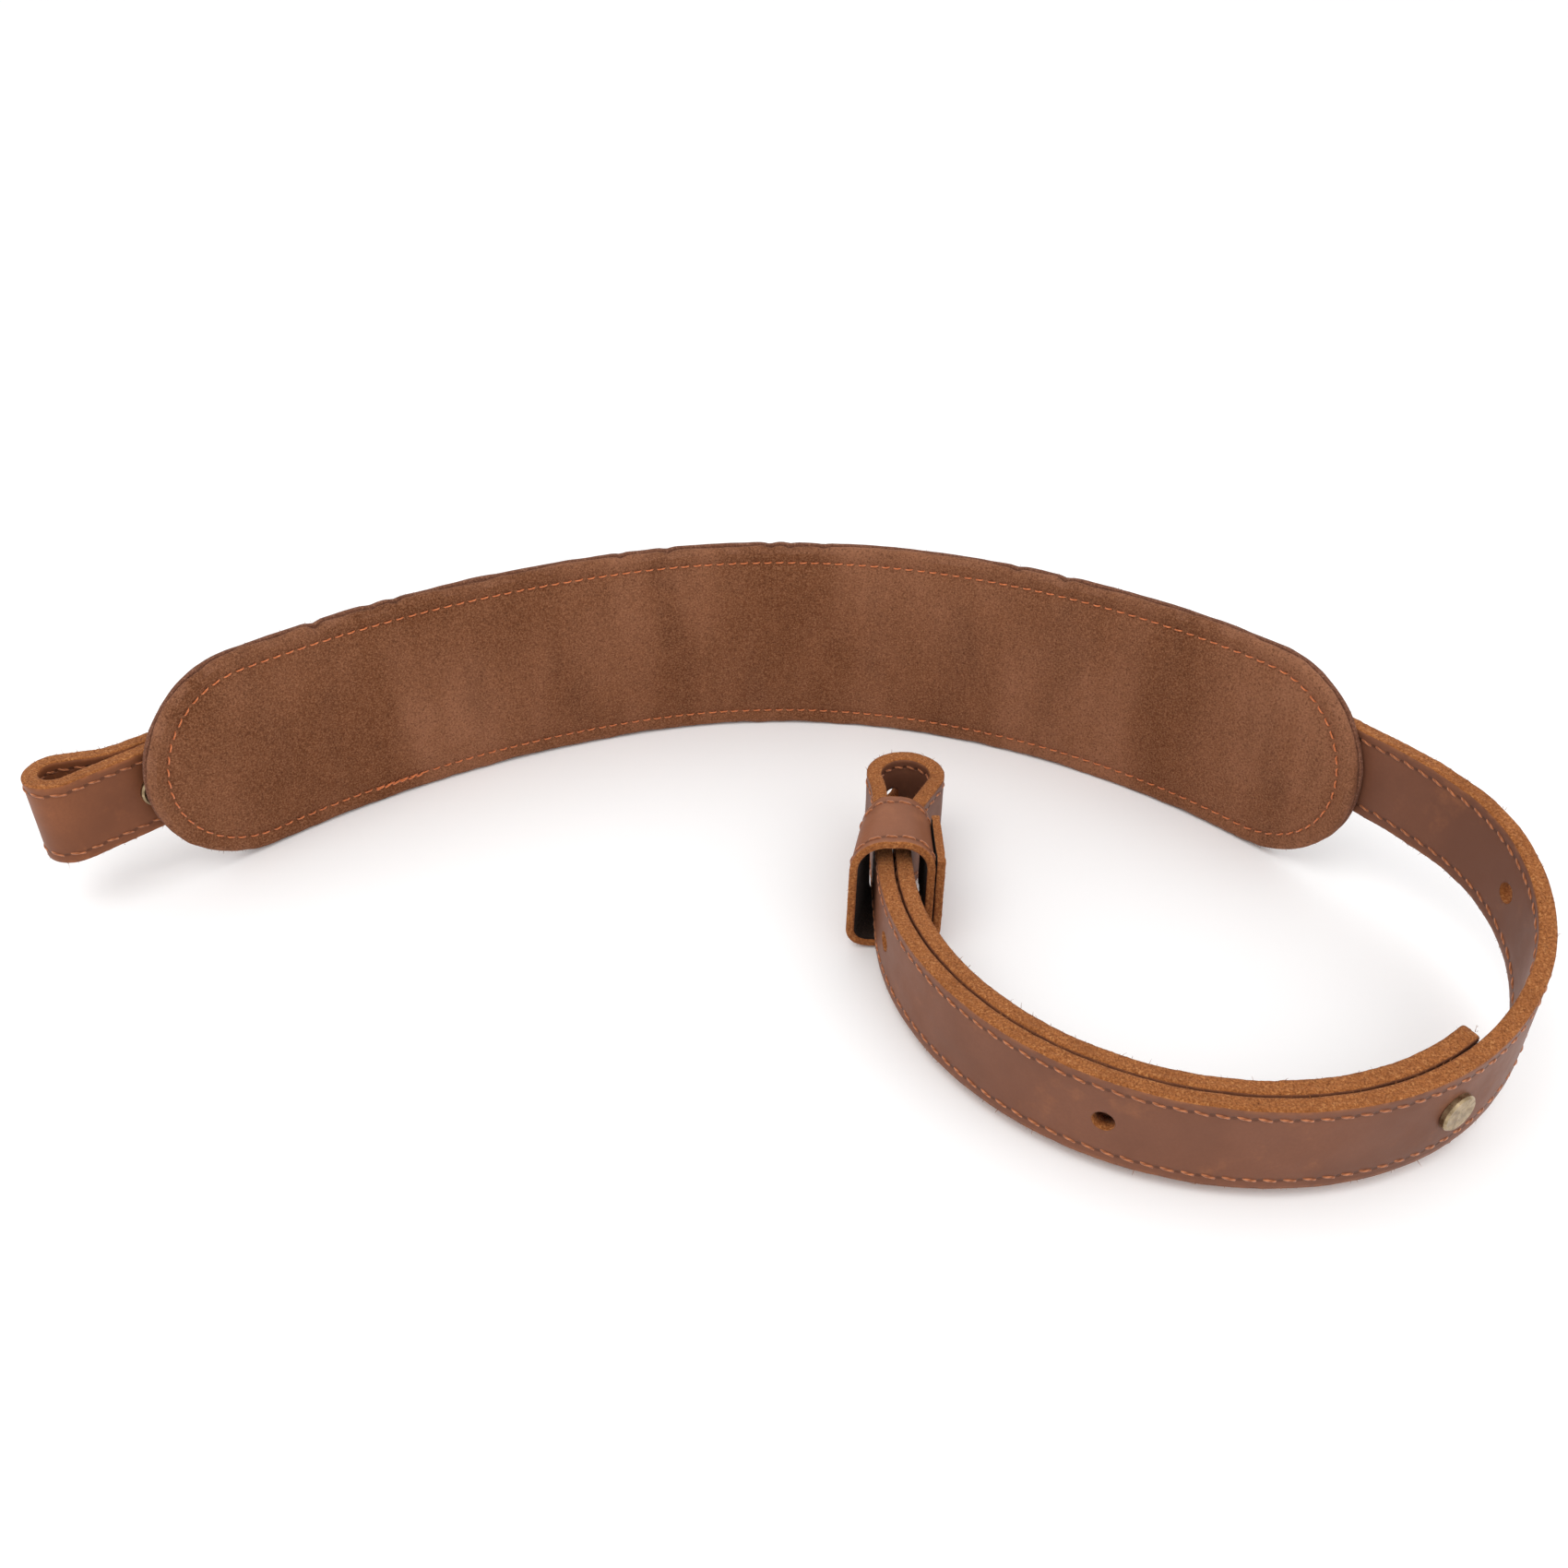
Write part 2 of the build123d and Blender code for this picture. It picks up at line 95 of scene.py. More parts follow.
# Straps on the back of the pad
TAB_SEWN = 38.0
RIGHT_TAB_FROM_END = 22.0
RIGHT_TAB_BASE = 25.0
RIGHT_TAB_FREE = 27.0
LEFT_TAB_FROM_END = 26.0
LEFT_TAB_FREE = 7.5
LEFT_TAB_BASE = 17.3
FACING_PAD = 16.0              # past the sewn length, the right tab's inner seams begin here
BRIDGE = 6.0                   # half the length of leather that bends at a flex line
BEND_MIDDLE = 30.0             # height at which a bend's ends are given

# Long strap and left loop, along their mid-surfaces
LONG_BASE = 3.0
LONG_LEAVING = (47.5, -4.2)
LONG_RIGHT_BEND = (60.4, -70.4)
LONG_FRONT_RADIUS = 82.2
LONG_FRONT_TURN = 144.5
LONG_STRAIGHT = 33.4
LONG_FOLD = dict(lead_radius=40.0, lead_turn=12.0, radius=9.0, closing_turn=28.0, closing_radius=20.0)
SCREW_TURN = 120.3
HOLES_FROM_SCREW = (-71.0, 81.0, 158.0, 226.0)
HOLE_RADIUS = 2.75
HOLE_REACH = 2.5               # a punch passes through one run and stops short of the run beside it
LEFT_LEAVING = (10.0, -12.0)
LEFT_BEND = (12.0, 12.5)
LEFT_STRAIGHT = 21.2
LEFT_FOLD = dict(lead_radius=0.0, lead_turn=0.0, radius=6.4, closing_turn=31.0, closing_radius=17.0)
LEFT_SCREW_FROM_TAB = 21.3
RUN_GAP = 0.8
RUN_PITCH = STRAP + RUN_GAP
TAIL_PAST_SCREW = 12.0
TAIL_CORNER = 4.0
TAIL_EASE = 1.5                # rounding of the tail across its thickness

# Keeper
KEEPER_BAND = 2.2
KEEPER_LENGTH = 21.0
KEEPER_FROM_ARC = 11.0
KEEPER_BASE = 0.4
KEEPER_HEIGHT = 35.6
KEEPER_LEFT = -9.45
KEEPER_RIGHT = 13.15
KEEPER_TOP_RADIUS = 9.4
KEEPER_BOTTOM_RADIUS = 4.9
KEEPER_END_HEIGHT = 6.5
FLAP_GAP = 0.35
FLAP_TOP = 29.5
KEEPER_SEAM_INSET = 2.8
KEEPER_PINCH = 4.84            # its far left side lies this much nearer the strap than its near one
KEEPER_BULGE = 0.8             # and its lower near side stands out this much
PINCH_FROM = 3.0               # the pinch begins here across the keeper
PINCH_GROWS = 9.5              # and is whole this much further to the left
PINCH_AT_TOP = 0.8             # share of it that the top takes

# Camera: it looks down at a point on the table in front of the pad's crown
CAMERA_TARGET = (9.5, 61.3, 0.0)
CAMERA_ELEVATION = 35.0
CAMERA_DISTANCE = 462.0
CAMERA_LENS = 33.46


# Routes


def advance(place, length, turn):
    """Move along a straight (turn 0) or an arc, and return the new x, y and heading."""
    x, y, heading = place
    half = math.radians(turn) / 2
    chord = length * (math.sin(half) / half if turn else 1)
    way = math.radians(heading) + half
    return x + chord * math.cos(way), y + chord * math.sin(way), heading + turn


def shifted(place, offset):
    """Point beside a place, on its left when the offset is positive."""
    x, y, heading = place
    way = math.radians(heading)
    return x - offset * math.sin(way), y + offset * math.cos(way)


class Route:
    """A plan line of tangent straights and arcs."""

    def __init__(self, start, heading, steps):
        self.start = (start[0], start[1], heading)
        self.steps = steps
        self.length = sum(length for length, _ in steps)

    def at(self, distance):
        """Place at a distance along the route."""
        place = self.start
        for length, turn in self.steps:
            run = min(length, distance)
            place = advance(place, run, turn * run / length)
            distance -= run
            if distance <= 0:
                break
        return place

    def part(self, first, last):
        """Stretch of the route between two distances."""
        steps = []
        passed = 0
        for length, turn in self.steps:
            run = min(last, passed + length) - max(first, passed)
            if run > 1e-6:
                steps.append((run, turn * run / length))
            passed += length
        x, y, heading = self.at(first)
        return Route((x, y), heading, steps)

    def parallel(self, offset):
        """The route moved sideways."""
        steps = [(length - math.radians(turn) * offset, turn) for length, turn in self.steps]
        return Route(shifted(self.start, offset), self.start[2], steps)


def backwards(steps):
    """The same steps travelled from their far end."""
    return [(length, -turn) for length, turn in reversed(steps)]


def fold(lead_radius, lead_turn, radius, closing_turn, closing_radius):
    """Steps that fold a strap back along its right side, and how far back they end."""
    lead = math.radians(lead_turn)
    close = math.radians(closing_turn)
    side = radius * (math.cos(lead) + math.cos(close)) - RUN_PITCH
    side -= lead_radius * (1 - math.cos(lead)) + closing_radius * (1 - math.cos(close))
    slope = side / math.sin(close)
    ahead = (lead_radius + radius) * math.sin(lead)
    back = (radius + closing_radius) * math.sin(close) + slope * math.cos(close) - ahead
    steps = [
        (lead_radius * lead, lead_turn),
        (radius * (math.pi + lead + close), -180 - lead_turn - closing_turn),
        (slope, 0),
        (closing_radius * close, closing_turn),
    ]
    return [step for step in steps if step[0]], back


def folded_route(outward, folding, tail_end):
    """A strap's outward run, its fold, and its run back beside itself to the tail's end."""
    loop, back = fold(**folding)
    beside = outward.part(tail_end, outward.length - back).parallel(-RUN_PITCH)
    steps = outward.steps + loop + backwards(beside.steps)
    return Route(outward.start[:2], outward.start[2], steps)


def long_strap_route():
    """Mid-surface of the right tab and long strap, from the sewn end to the tail's end."""
    start = pad_back.length - RIGHT_TAB_FROM_END - TAB_SEWN
    sewn = pad_back.part(start, start + TAB_SEWN)
    arc = (LONG_FRONT_RADIUS * math.radians(LONG_FRONT_TURN), -LONG_FRONT_TURN)
    steps = sewn.steps + [LONG_LEAVING, LONG_RIGHT_BEND, arc, (LONG_STRAIGHT, 0)]
    outward = Route(sewn.start[:2], sewn.start[2], steps)
    return folded_route(outward, LONG_FOLD, SCREW_AT - TAIL_PAST_SCREW)


def left_loop_route():
    """Mid-surface of the left tab and loop, from the sewn end to the tail's end."""
    sewn = pad_back.part(LEFT_TAB_FROM_END, LEFT_TAB_FROM_END + TAB_SEWN)
    x, y, heading = sewn.at(sewn.length)
    steps = backwards(sewn.steps) + [LEFT_LEAVING, LEFT_BEND, (LEFT_STRAIGHT, 0)]
    outward = Route((x, y), heading + 180, steps)
    return folded_route(outward, LEFT_FOLD, LEFT_SCREW_AT - TAIL_PAST_SCREW)


def keeper_route():
    """Middle of the keeper's band in its section: x towards the return run, y up."""
    wall = KEEPER_BAND / 2
    right = KEEPER_RIGHT - wall
    left = KEEPER_LEFT + wall
    top = KEEPER_BASE + KEEPER_HEIGHT - wall
    bottom = KEEPER_BASE + wall
    end = KEEPER_BASE + KEEPER_END_HEIGHT
    flap = KEEPER_RIGHT + FLAP_GAP + wall
    r_top = KEEPER_TOP_RADIUS - wall
    r_low = KEEPER_BOTTOM_RADIUS
    steps = [
        (top - r_top - end, 0),
        (r_top * math.pi / 2, 90),
        (right - left - 2 * r_top, 0),
        (r_top * math.pi / 2, 90),
        (top - bottom - r_top - r_low, 0),
        (r_low * math.pi / 2, 90),
        (flap - left - 2 * r_low, 0),
        (r_low * math.pi / 2, 90),
        (FLAP_TOP - bottom - r_low, 0),
    ]
    return Route((right, end), 90, steps)


pad_face = Route(PAD_LEFT_END, PAD_LEFT_HEADING, PAD_STEPS)
pad_back = pad_face.parallel(PAD_THICKNESS + LAYER)
LONG_FLEX_AT = TAB_SEWN + RIGHT_TAB_FREE
LEFT_FLEX_AT = TAB_SEWN + LEFT_TAB_FREE
ARC_AT = TAB_SEWN + LONG_LEAVING[0] + LONG_RIGHT_BEND[0]
ARC_END = ARC_AT + LONG_FRONT_RADIUS * math.radians(LONG_FRONT_TURN)
SCREW_AT = ARC_END - LONG_FRONT_RADIUS * math.radians(SCREW_TURN)
LEFT_SCREW_AT = TAB_SEWN + LEFT_SCREW_FROM_TAB
long_line = long_strap_route()
left_line = left_loop_route()
keeper_line = keeper_route()
flex_place = long_line.at(LONG_FLEX_AT)
front_place = long_line.at(ARC_END - LONG_FRONT_RADIUS * math.radians(90))
keeper_place = long_line.at(ARC_END + KEEPER_FROM_ARC)


def long_base(x, y):
    """Height of the long strap's lower edge: level in front, rising to the tab on the right."""
    if x < front_place[0]:
        return LONG_BASE
    t = (y - front_place[1]) / (flex_place[1] - front_place[1])
    t = min(max(t, 0), 1)
    return LONG_BASE + (RIGHT_TAB_BASE - LONG_BASE) * (3 * t ** 2 - 2 * t ** 3)


# Where a place along a line, an offset from it and a distance across it lie in the frame


def on_long(place, offset, across):
    """On the right tab and the long strap."""
    x, y = shifted(place, offset)
    return x * MM, y * MM, (long_base(x, y) + across) * MM


def on_left(place, offset, across):
    """On the left tab and loop."""
    x, y = shifted(place, offset)
    return x * MM, y * MM, (LEFT_TAB_BASE + across) * MM


def on_keeper(place, offset, across):
    """The keeper's section, pinched towards the strap on its far left side."""
    u, z = shifted(place, offset)
    x, y, heading = keeper_place
    way = math.radians(heading)
    along = across - KEEPER_LENGTH / 2
    left = min(max((PINCH_FROM - u) / PINCH_GROWS, 0), 1)
    low = min(max((KEEPER_HEIGHT - z) / KEEPER_HEIGHT, 0), 1)
    far = across / KEEPER_LENGTH
    pinched = (PINCH_AT_TOP + (1 - PINCH_AT_TOP) * low) * KEEPER_PINCH * far
    u += left * (pinched - KEEPER_BULGE * low * (1 - far))
    return (
        (x + u * math.sin(way) + along * math.cos(way)) * MM,
        (y - u * math.cos(way) + along * math.sin(way)) * MM,
        z * MM,
    )


def ripple(x, y, seed):
    """Smooth noise from -1 to 1."""
    return noise.noise(Vector((x, y, seed)))


# Meshes

# Slot 2 holds painted shade on the inner side of a ring.
GRAIN, RAW, INSIDE_SHADE = 0, 1, 2


def new_piece(name, points, faces, materials, face_slots=None, uvs=None, sharp=()):
    """Smooth-shaded object from points in metres, with mm coordinates as its UV map."""
    mesh = bpy.data.meshes.new(name)
    mesh.from_pydata(points, [], faces)
    for material in materials:
        mesh.materials.append(material)
    mesh.polygons.foreach_set("use_smooth", [True] * len(faces))
    if face_slots is not None:
        mesh.polygons.foreach_set("material_index", face_slots)
    if uvs is not None:
        layer = mesh.uv_layers.new(name="lay")
        corners = np.empty(len(mesh.loops), dtype=np.int32)
        mesh.loops.foreach_get("vertex_index", corners)
        layer.data.foreach_set("uv", np.asarray(uvs, dtype=np.float32)[corners].ravel())
    if sharp:
        wanted = set(sharp)
        for edge in mesh.edges:
            if tuple(sorted(edge.vertices)) in wanted:
                edge.use_edge_sharp = True
    mesh.validate()
    shells = bmesh.new()
    shells.from_mesh(mesh)
    bmesh.ops.recalc_face_normals(shells, faces=shells.faces)
    shells.to_mesh(mesh)
    shells.free()
    piece = bpy.data.objects.new(name, mesh)
    bpy.context.scene.collection.objects.link(piece)
    return piece


def tube(first, rings, around):
    """Faces between rings of points that follow one another."""
    for i in range(rings - 1):
        for j in range(around):
            k = (j + 1) % around
            a, b = first + i * around, first + (i + 1) * around
            yield a + j, a + k, b + k, b + j


def band_section(half, width, seams):
    """Points (offset, across, slot of the face that follows) round a strap's section."""
    fine = 1.1
    soft = 0.35
    groove_depth = 0.2
    groove_width = 0.7
    count = int(width / fine)
    side = []
    for i in range(count + 1):
        across = soft + (width - 2 * soft) * i / count
        dip = sum(math.exp(-((across - seam) / groove_width) ** 2) for seam in seams)
        side.append((half - groove_depth * dip, across))
    edge = [(0.86, 0.12), (0.6, 0), (0.3, -0.02), (0, 0.1), (-0.3, -0.02), (-0.6, 0), (-0.86, 0.12)]
    section = [(offset, across, GRAIN) for offset, across in side[:-1]]
    section.append((*side[-1], RAW))
    section += [(half * share, width - inset, RAW) for share, inset in edge]
    section += [(-offset, across, GRAIN) for offset, across in reversed(side[1:])]
    section.append((-side[0][0], side[0][1], RAW))
    section += [(-half * share, inset, RAW) for share, inset in edge]
    return section


def quarter(left, radius):
    """How far a corner of this radius has come in, this far before its end."""
    reach = max(radius - left, 0)
    return radius - math.sqrt(max(radius ** 2 - reach ** 2, 0))


def band(name, line, start, end, put, half, width, seams, materials, step=0.7, round_end=False,
         seed=0.0):
    """A length of leather swept along a line, smooth on its faces and rough on its cut edges."""
    section = band_section(half, width, seams)
    count = int((end - start) / step) + 1
    stops = [start + (end - start) * i / count for i in range(count + 1)]
    if round_end:
        stops = [stop for stop in stops if stop < end - TAIL_CORNER]
        stops += [end - TAIL_CORNER * (1 - i / 16) ** 2 for i in range(17)]
    rings = len(stops)
    points, uvs = [], []
    for along in stops:
        place = line.at(along)
        left = end - along
        inset = quarter(left, TAIL_CORNER) if round_end else 0.0
        slim = 1 - quarter(left, TAIL_EASE) / half if round_end else 1.0
        squeeze = (width - 2 * inset) / width
        wave = 0.22 * ripple(along / 9, 0, seed) + 0.1 * ripple(along / 2.6, 4, seed)
        for offset, across, slot in section:
            spot = inset + across * squeeze
            rough = 0.0
            if slot == RAW:
                rough = 0.13 * ripple(along * 1.1, offset * 1.3 + across, seed + 3)
                rough += 0.09 * ripple(along * 2.7, offset * 2.9 + across, seed + 6)
            outward = 1 if across > width / 2 else -1
            edge_share = abs(2 * across / width - 1) ** 4
            spot += outward * (rough + wave * edge_share)
            bulge = 0.06 * ripple(along / 6, spot / 7, seed + 9)
            points.append(put(place, offset * slim + bulge, spot))
            uvs.append((along, across))
    count = len(section)
    faces = list(tube(0, rings, count))
    # Faces on the inner side of a ring take the third material when there is one: painted shade.
    shades_inside = len(materials) > INSIDE_SHADE
    ring_slots = [INSIDE_SHADE if shades_inside and slot == GRAIN and offset > 0 else slot
                  for offset, _, slot in section]
    slots = ring_slots * (rings - 1)
    sharp = []
    for ring in (0, rings - 1):
        first = ring * count
        loop = [first + j for j in range(count)]
        sharp += [tuple(sorted((loop[j], loop[(j + 1) % count]))) for j in range(count)]
        faces.append(loop if ring == 0 else loop[::-1])
        slots.append(RAW)
    return new_piece(name, points, faces, materials, slots, uvs, sharp)


def stitches(name, line, put, centres, seam, offset, side, material, length=3.75, radius=0.34,
             slant=0.8, rise=0.14, turned=False):
    """A row of single stitches lying on a face, each dipping into the leather at both ends."""
    around, along_count = 7, 9
    points, faces, uvs = [], [], []
    for number, centre in enumerate(centres):
        first = len(points)
        lean = slant * (0.75 + 0.5 * chance.random())
        lift = rise * (0.7 + 0.6 * chance.random())
        reach = length * (0.94 + 0.1 * chance.random())
        for i in range(along_count):
            t = 2 * i / (along_count - 1) - 1
            height = lift * (1 - t ** 2) - 0.55 * t ** 8
            girth = radius * (1 - 0.35 * t ** 4)
            for j in range(around):
                angle = 2 * math.pi * j / around
                ply = 1 + 0.13 * math.cos(2 * angle + 5.5 * t)
                out = offset + side * (height + girth * ply * math.cos(angle))
                drift = lean * t / 2 + girth * ply * math.sin(angle)
                if turned:
                    spot = line.at(seam + drift)
                    points.append(put(spot, out, centre + reach * t / 2))
                else:
                    spot = line.at(centre + reach * t / 2)
                    points.append(put(spot, out, seam + drift))
                uvs.append((number * 10 + t * reach / 2, angle))
        faces += tube(first, along_count, around)
        last = first + (along_count - 1) * around
        faces.append([first + j for j in reversed(range(around))])
        faces.append([last + j for j in range(around)])
    return new_piece(name, points, faces, [material], None, uvs)


def strands(name, spots, material, longest):
    """Loose leather fibres: thin bent hairs from (point, outward direction) pairs, in mm."""
    points, faces = [], []
    for root, way in spots:
        first = len(points)
        reach = longest * (0.25 + 0.75 * chance.random() ** 3)
        width = 0.06 + 0.04 * chance.random()
        way = Vector(way) + Vector([chance.uniform(-0.7, 0.7) for _ in range(3)])
        way.normalize()
        curl = Vector([chance.uniform(-1, 1) for _ in range(3)])
        side = way.cross(curl).normalized()
        other = way.cross(side)
        for i in range(4):
            t = i / 3
            centre = Vector(root) + way * (reach * t - 0.2) + curl * (0.45 * reach * t * t)
            for j in range(3):
                angle = 2 * math.pi * j / 3
                spread = (side * math.cos(angle) + other * math.sin(angle)) * width * (1 - 0.75 * t)
                points.append(tuple((centre + spread) * MM))
        faces += tube(first, 4, 3)
        faces.append((first + 2, first + 1, first))
        faces.append((first + 9, first + 10, first + 11))
    return new_piece(name, points, faces, [material])


# Materials


def linear(red, green, blue):
    """Linear colour from 0 to 255 screen values."""
    def channel(value):
        value /= 255
        return value / 12.92 if value <= 0.04045 else ((value + 0.055) / 1.055) ** 2.4
    return channel(red), channel(green), channel(blue), 1.0


class Look:
    """A material under construction: small helpers round its node tree."""

    def __init__(self, name, **fixed):
        self.material = bpy.data.materials.new(name)
        self.material.use_nodes = True
        self.tree = self.material.node_tree
        self.shader = self.tree.nodes["Principled BSDF"]
        for socket, value in fixed.items():
            self.shader.inputs[socket.replace("_", " ")].default_value = value
        self.object = self.node("ShaderNodeTexCoord").outputs["Object"]

    def node(self, kind, **values):
        made = self.tree.nodes.new(kind)
        for key, value in values.items():
            setattr(made, key, value)
        return made

    def feed(self, socket, value):
        if isinstance(value, bpy.types.NodeSocket):
            self.tree.links.new(value, socket)
        else:
            socket.default_value = value

    def math(self, operation, a, b=0.0):
        made = self.node("ShaderNodeMath", operation=operation)
        self.feed(made.inputs[0], a)
        self.feed(made.inputs[1], b)
        return made.outputs[0]

    def spread(self, value, low, high, to_low=0.0, to_high=1.0):
        """Value carried smoothly from one range to another, and held at its ends."""
        made = self.node("ShaderNodeMapRange", interpolation_type="SMOOTHSTEP")
        self.feed(made.inputs["Value"], value)
        made.inputs["From Min"].default_value = low
        made.inputs["From Max"].default_value = high
        made.inputs["To Min"].default_value = to_low
        made.inputs["To Max"].default_value = to_high
        return made.outputs["Result"]

    def noise(self, scale, detail=2.0, rough=0.5, stretch=None):
        vector = self.object
        if stretch:
            mapping = self.node("ShaderNodeMapping")
            self.feed(mapping.inputs["Vector"], vector)
            mapping.inputs["Scale"].default_value = stretch
            vector = mapping.outputs[0]
        made = self.node("ShaderNodeTexNoise")
        self.feed(made.inputs["Vector"], vector)
        made.inputs["Scale"].default_value = scale
        made.inputs["Detail"].default_value = detail
        made.inputs["Roughness"].default_value = rough
        return made.outputs["Fac"]

    def cells(self, scale):
        made = self.node("ShaderNodeTexVoronoi", feature="DISTANCE_TO_EDGE")
        self.feed(made.inputs["Vector"], self.object)
        made.inputs["Scale"].default_value = scale
        return made.outputs["Distance"]

    def mix(self, share, a, b):
        made = self.node("ShaderNodeMix", data_type="RGBA")
        self.feed(made.inputs["Factor"], share)
        self.feed(made.inputs[6], a)
        self.feed(made.inputs[7], b)
        return made.outputs[2]

    def lay(self):
        """The UV map's two numbers: mm along and mm across."""
        chosen = self.node("ShaderNodeUVMap", uv_map="lay")
        split = self.node("ShaderNodeSeparateXYZ")
        self.feed(split.inputs[0], chosen.outputs[0])
        return split.outputs[0], split.outputs[1]

    def bump(self, height, strength, distance, under=None):
        made = self.node("ShaderNodeBump")
        made.inputs["Strength"].default_value = strength
        made.inputs["Distance"].default_value = distance * MM
        self.feed(made.inputs["Height"], height)
        if under is not None:
            self.feed(made.inputs["Normal"], under)
        return made.outputs[0]

    def finish(self, colour, rough, normal):
        self.feed(self.shader.inputs["Base Color"], colour)
        self.feed(self.shader.inputs["Roughness"], rough)
        self.feed(self.shader.inputs["Normal"], normal)
        return self.material


def smooth_leather(name, main, dark, light, width, seam):
    """Oiled leather: cloudy colour, fine grain, worn edges, and needle holes along its seams with
    painted shade in them.
    """
    look = Look(name, Specular_IOR_Level=0.17)
    along, across = look.lay()
    clouds = look.spread(look.noise(28, 5, 0.6), 0.3, 0.7)
    colour = look.mix(clouds, dark, main)
    worn = look.spread(look.noise(75, 4, 0.65), 0.54, 0.75, 0.0, 0.5)
    colour = look.mix(worn, colour, light)
    speck = look.spread(look.noise(1500, 2, 0.6), 0.35, 0.7, 0.0, 0.28)
    colour = look.mix(speck, colour, dark)
    centre = look.math("ABSOLUTE", look.math("SUBTRACT", across, width / 2))
    rubbed = look.spread(centre, width / 2 - 1.7, width / 2 - 0.2)
    rubbed = look.math("MULTIPLY", rubbed, look.spread(look.noise(420, 3), 0.35, 0.65, 0.1, 0.75))
    colour = look.mix(rubbed, colour, light)
    seam_gap = look.math("ABSOLUTE", look.math("SUBTRACT", centre, width / 2 - seam))
    # Darker along the seam grooves.
    seam_darkening = look.spread(seam_gap, 0.3, 1.3, 0.45, 0.0)
    colour = look.mix(seam_darkening, colour, dark)
    phase = look.math("PINGPONG", look.math("ADD", along, STITCH_PITCH / 2), STITCH_PITCH / 2)
    hole_length = look.math("MULTIPLY", phase, 0.62)
    reach = look.math("ADD", look.math("MULTIPLY", seam_gap, seam_gap),
                      look.math("MULTIPLY", hole_length, hole_length))
    hole = look.spread(reach, 0.06, 0.3, 1.0, 0.0)
    # Painted shade: the needle holes are darkened as if shade falls into them.
    colour = look.mix(look.math("MULTIPLY", hole, 0.45), colour, linear(62, 34, 22))
    rough = look.spread(look.noise(60, 4, 0.6), 0.3, 0.7, 0.42, 0.56)
    normal = look.bump(look.noise(60, 3), 0.25, 0.5)
    normal = look.bump(look.cells(1150), 0.16, 0.06, normal)
    normal = look.bump(look.noise(2600, 2), 0.14, 0.05, normal)
    normal = look.bump(look.math("SUBTRACT", 1.0, hole), 0.6, 0.35, normal)
    return look.finish(colour, rough, normal)


def raw_leather(name, main, dark, light):
    """Cut edge: loose orange fibres with dark pits."""
    look = Look(name, Specular_IOR_Level=0.08, Sheen_Weight=0.06, Sheen_Roughness=0.6)
    fibre = look.spread(look.noise(1900, 4, 0.7), 0.34, 0.64)
    colour = look.mix(fibre, dark, main)
    pale = look.spread(look.noise(950, 3, 0.7), 0.5, 0.72, 0.0, 0.6)
    colour = look.mix(pale, colour, light)
    clouds = look.spread(look.noise(110, 3), 0.4, 0.7, 0.0, 0.35)
    colour = look.mix(clouds, colour, dark)
    rough = look.spread(fibre, 0.0, 1.0, 0.98, 0.8)
    normal = look.bump(look.noise(2100, 4, 0.7), 0.8, 0.35)
    normal = look.bump(look.noise(700, 3), 0.5, 0.4, normal)
    return look.finish(colour, rough, normal)


def suede(name, edge=False):
    """Napped suede: fine speckle over soft patches where the nap lies different ways; with edge set,
    paler clouds paint light on the rim's fold.
    """
    look = Look(name, Specular_IOR_Level=0.05, Sheen_Weight=0.2 if edge else 0.14,
                Sheen_Roughness=0.45, Sheen_Tint=linear(214, 170, 150))
    patches = look.noise(21, 3, 0.55, stretch=(1.0, 1.0, 0.4))
    shade = look.spread(patches, 0.36, 0.66)
    colour = look.mix(shade, linear(94, 54, 32), linear(136, 90, 66))
    strokes = look.noise(62, 2, 0.5, stretch=(1.0, 1.0, 0.28))
    colour = look.mix(look.spread(strokes, 0.5, 0.68, 0.0, 0.5), colour, linear(86, 51, 34))
    # With edge set, the cloud is stronger and paler: painted light on the turned rim.
    cloud = look.spread(look.noise(110, 4, 0.6), 0.4, 0.7, 0.0, 0.5 if edge else 0.4)
    colour = look.mix(cloud, colour, linear(136, 93, 72) if edge else linear(116, 71, 46))
    nap = look.spread(look.noise(1900, 3, 0.85), 0.42, 0.62)
    colour = look.mix(look.math("MULTIPLY", nap, 0.5), colour, linear(168, 116, 84))
    pits = look.spread(look.noise(1500, 3, 0.8), 0.5, 0.66, 0.0, 0.6)
    colour = look.mix(pits, colour, linear(66, 38, 24))
    rough = look.spread(nap, 0.0, 1.0, 1.0, 0.86)
    normal = look.bump(look.noise(1700, 3, 0.75), 0.75, 0.3)
    normal = look.bump(look.noise(420, 3, 0.6), 0.35, 0.5, normal)
    return look.finish(colour, rough, normal)


def thread(name, main, dark):
    """Waxed twisted thread."""
    look = Look(name, Specular_IOR_Level=0.3, Sheen_Weight=0.25)
    along, round_it = look.lay()
    twist = look.math("SINE", look.math("ADD", look.math("MULTIPLY", along, 3.1),
                                        look.math("MULTIPLY", round_it, 2.0)))
    ply = look.spread(twist, -0.8, 0.7)
    colour = look.mix(ply, dark, main)
    fade = look.spread(look.noise(260, 2), 0.35, 0.7, 0.0, 0.5)
    colour = look.mix(fade, colour, dark)
    rough = look.spread(ply, 0.0, 1.0, 0.75, 0.5)
    normal = look.bump(twist, 0.5, 0.08)
    normal = look.bump(look.noise(6000, 2), 0.3, 0.04, normal)
    return look.finish(colour, rough, normal)


def antique_brass(name):
    """Dull yellow-brown plated metal, darker and rougher in its patches."""
    look = Look(name, Metallic=1.0)
    patches = look.spread(look.noise(420, 4, 0.6), 0.38, 0.68)
    colour = look.mix(patches, linear(142, 122, 94), linear(184, 162, 128))
    spots = look.spread(look.noise(1500, 3), 0.6, 0.74, 0.0, 0.6)
    colour = look.mix(spots, colour, linear(84, 64, 44))
    rough = look.spread(look.noise(700, 3), 0.3, 0.7, 0.26, 0.42)
    normal = look.bump(look.noise(260, 3), 0.1, 0.1)
    normal = look.bump(look.noise(3200, 2), 0.08, 0.03, normal)
    return look.finish(colour, rough, normal)


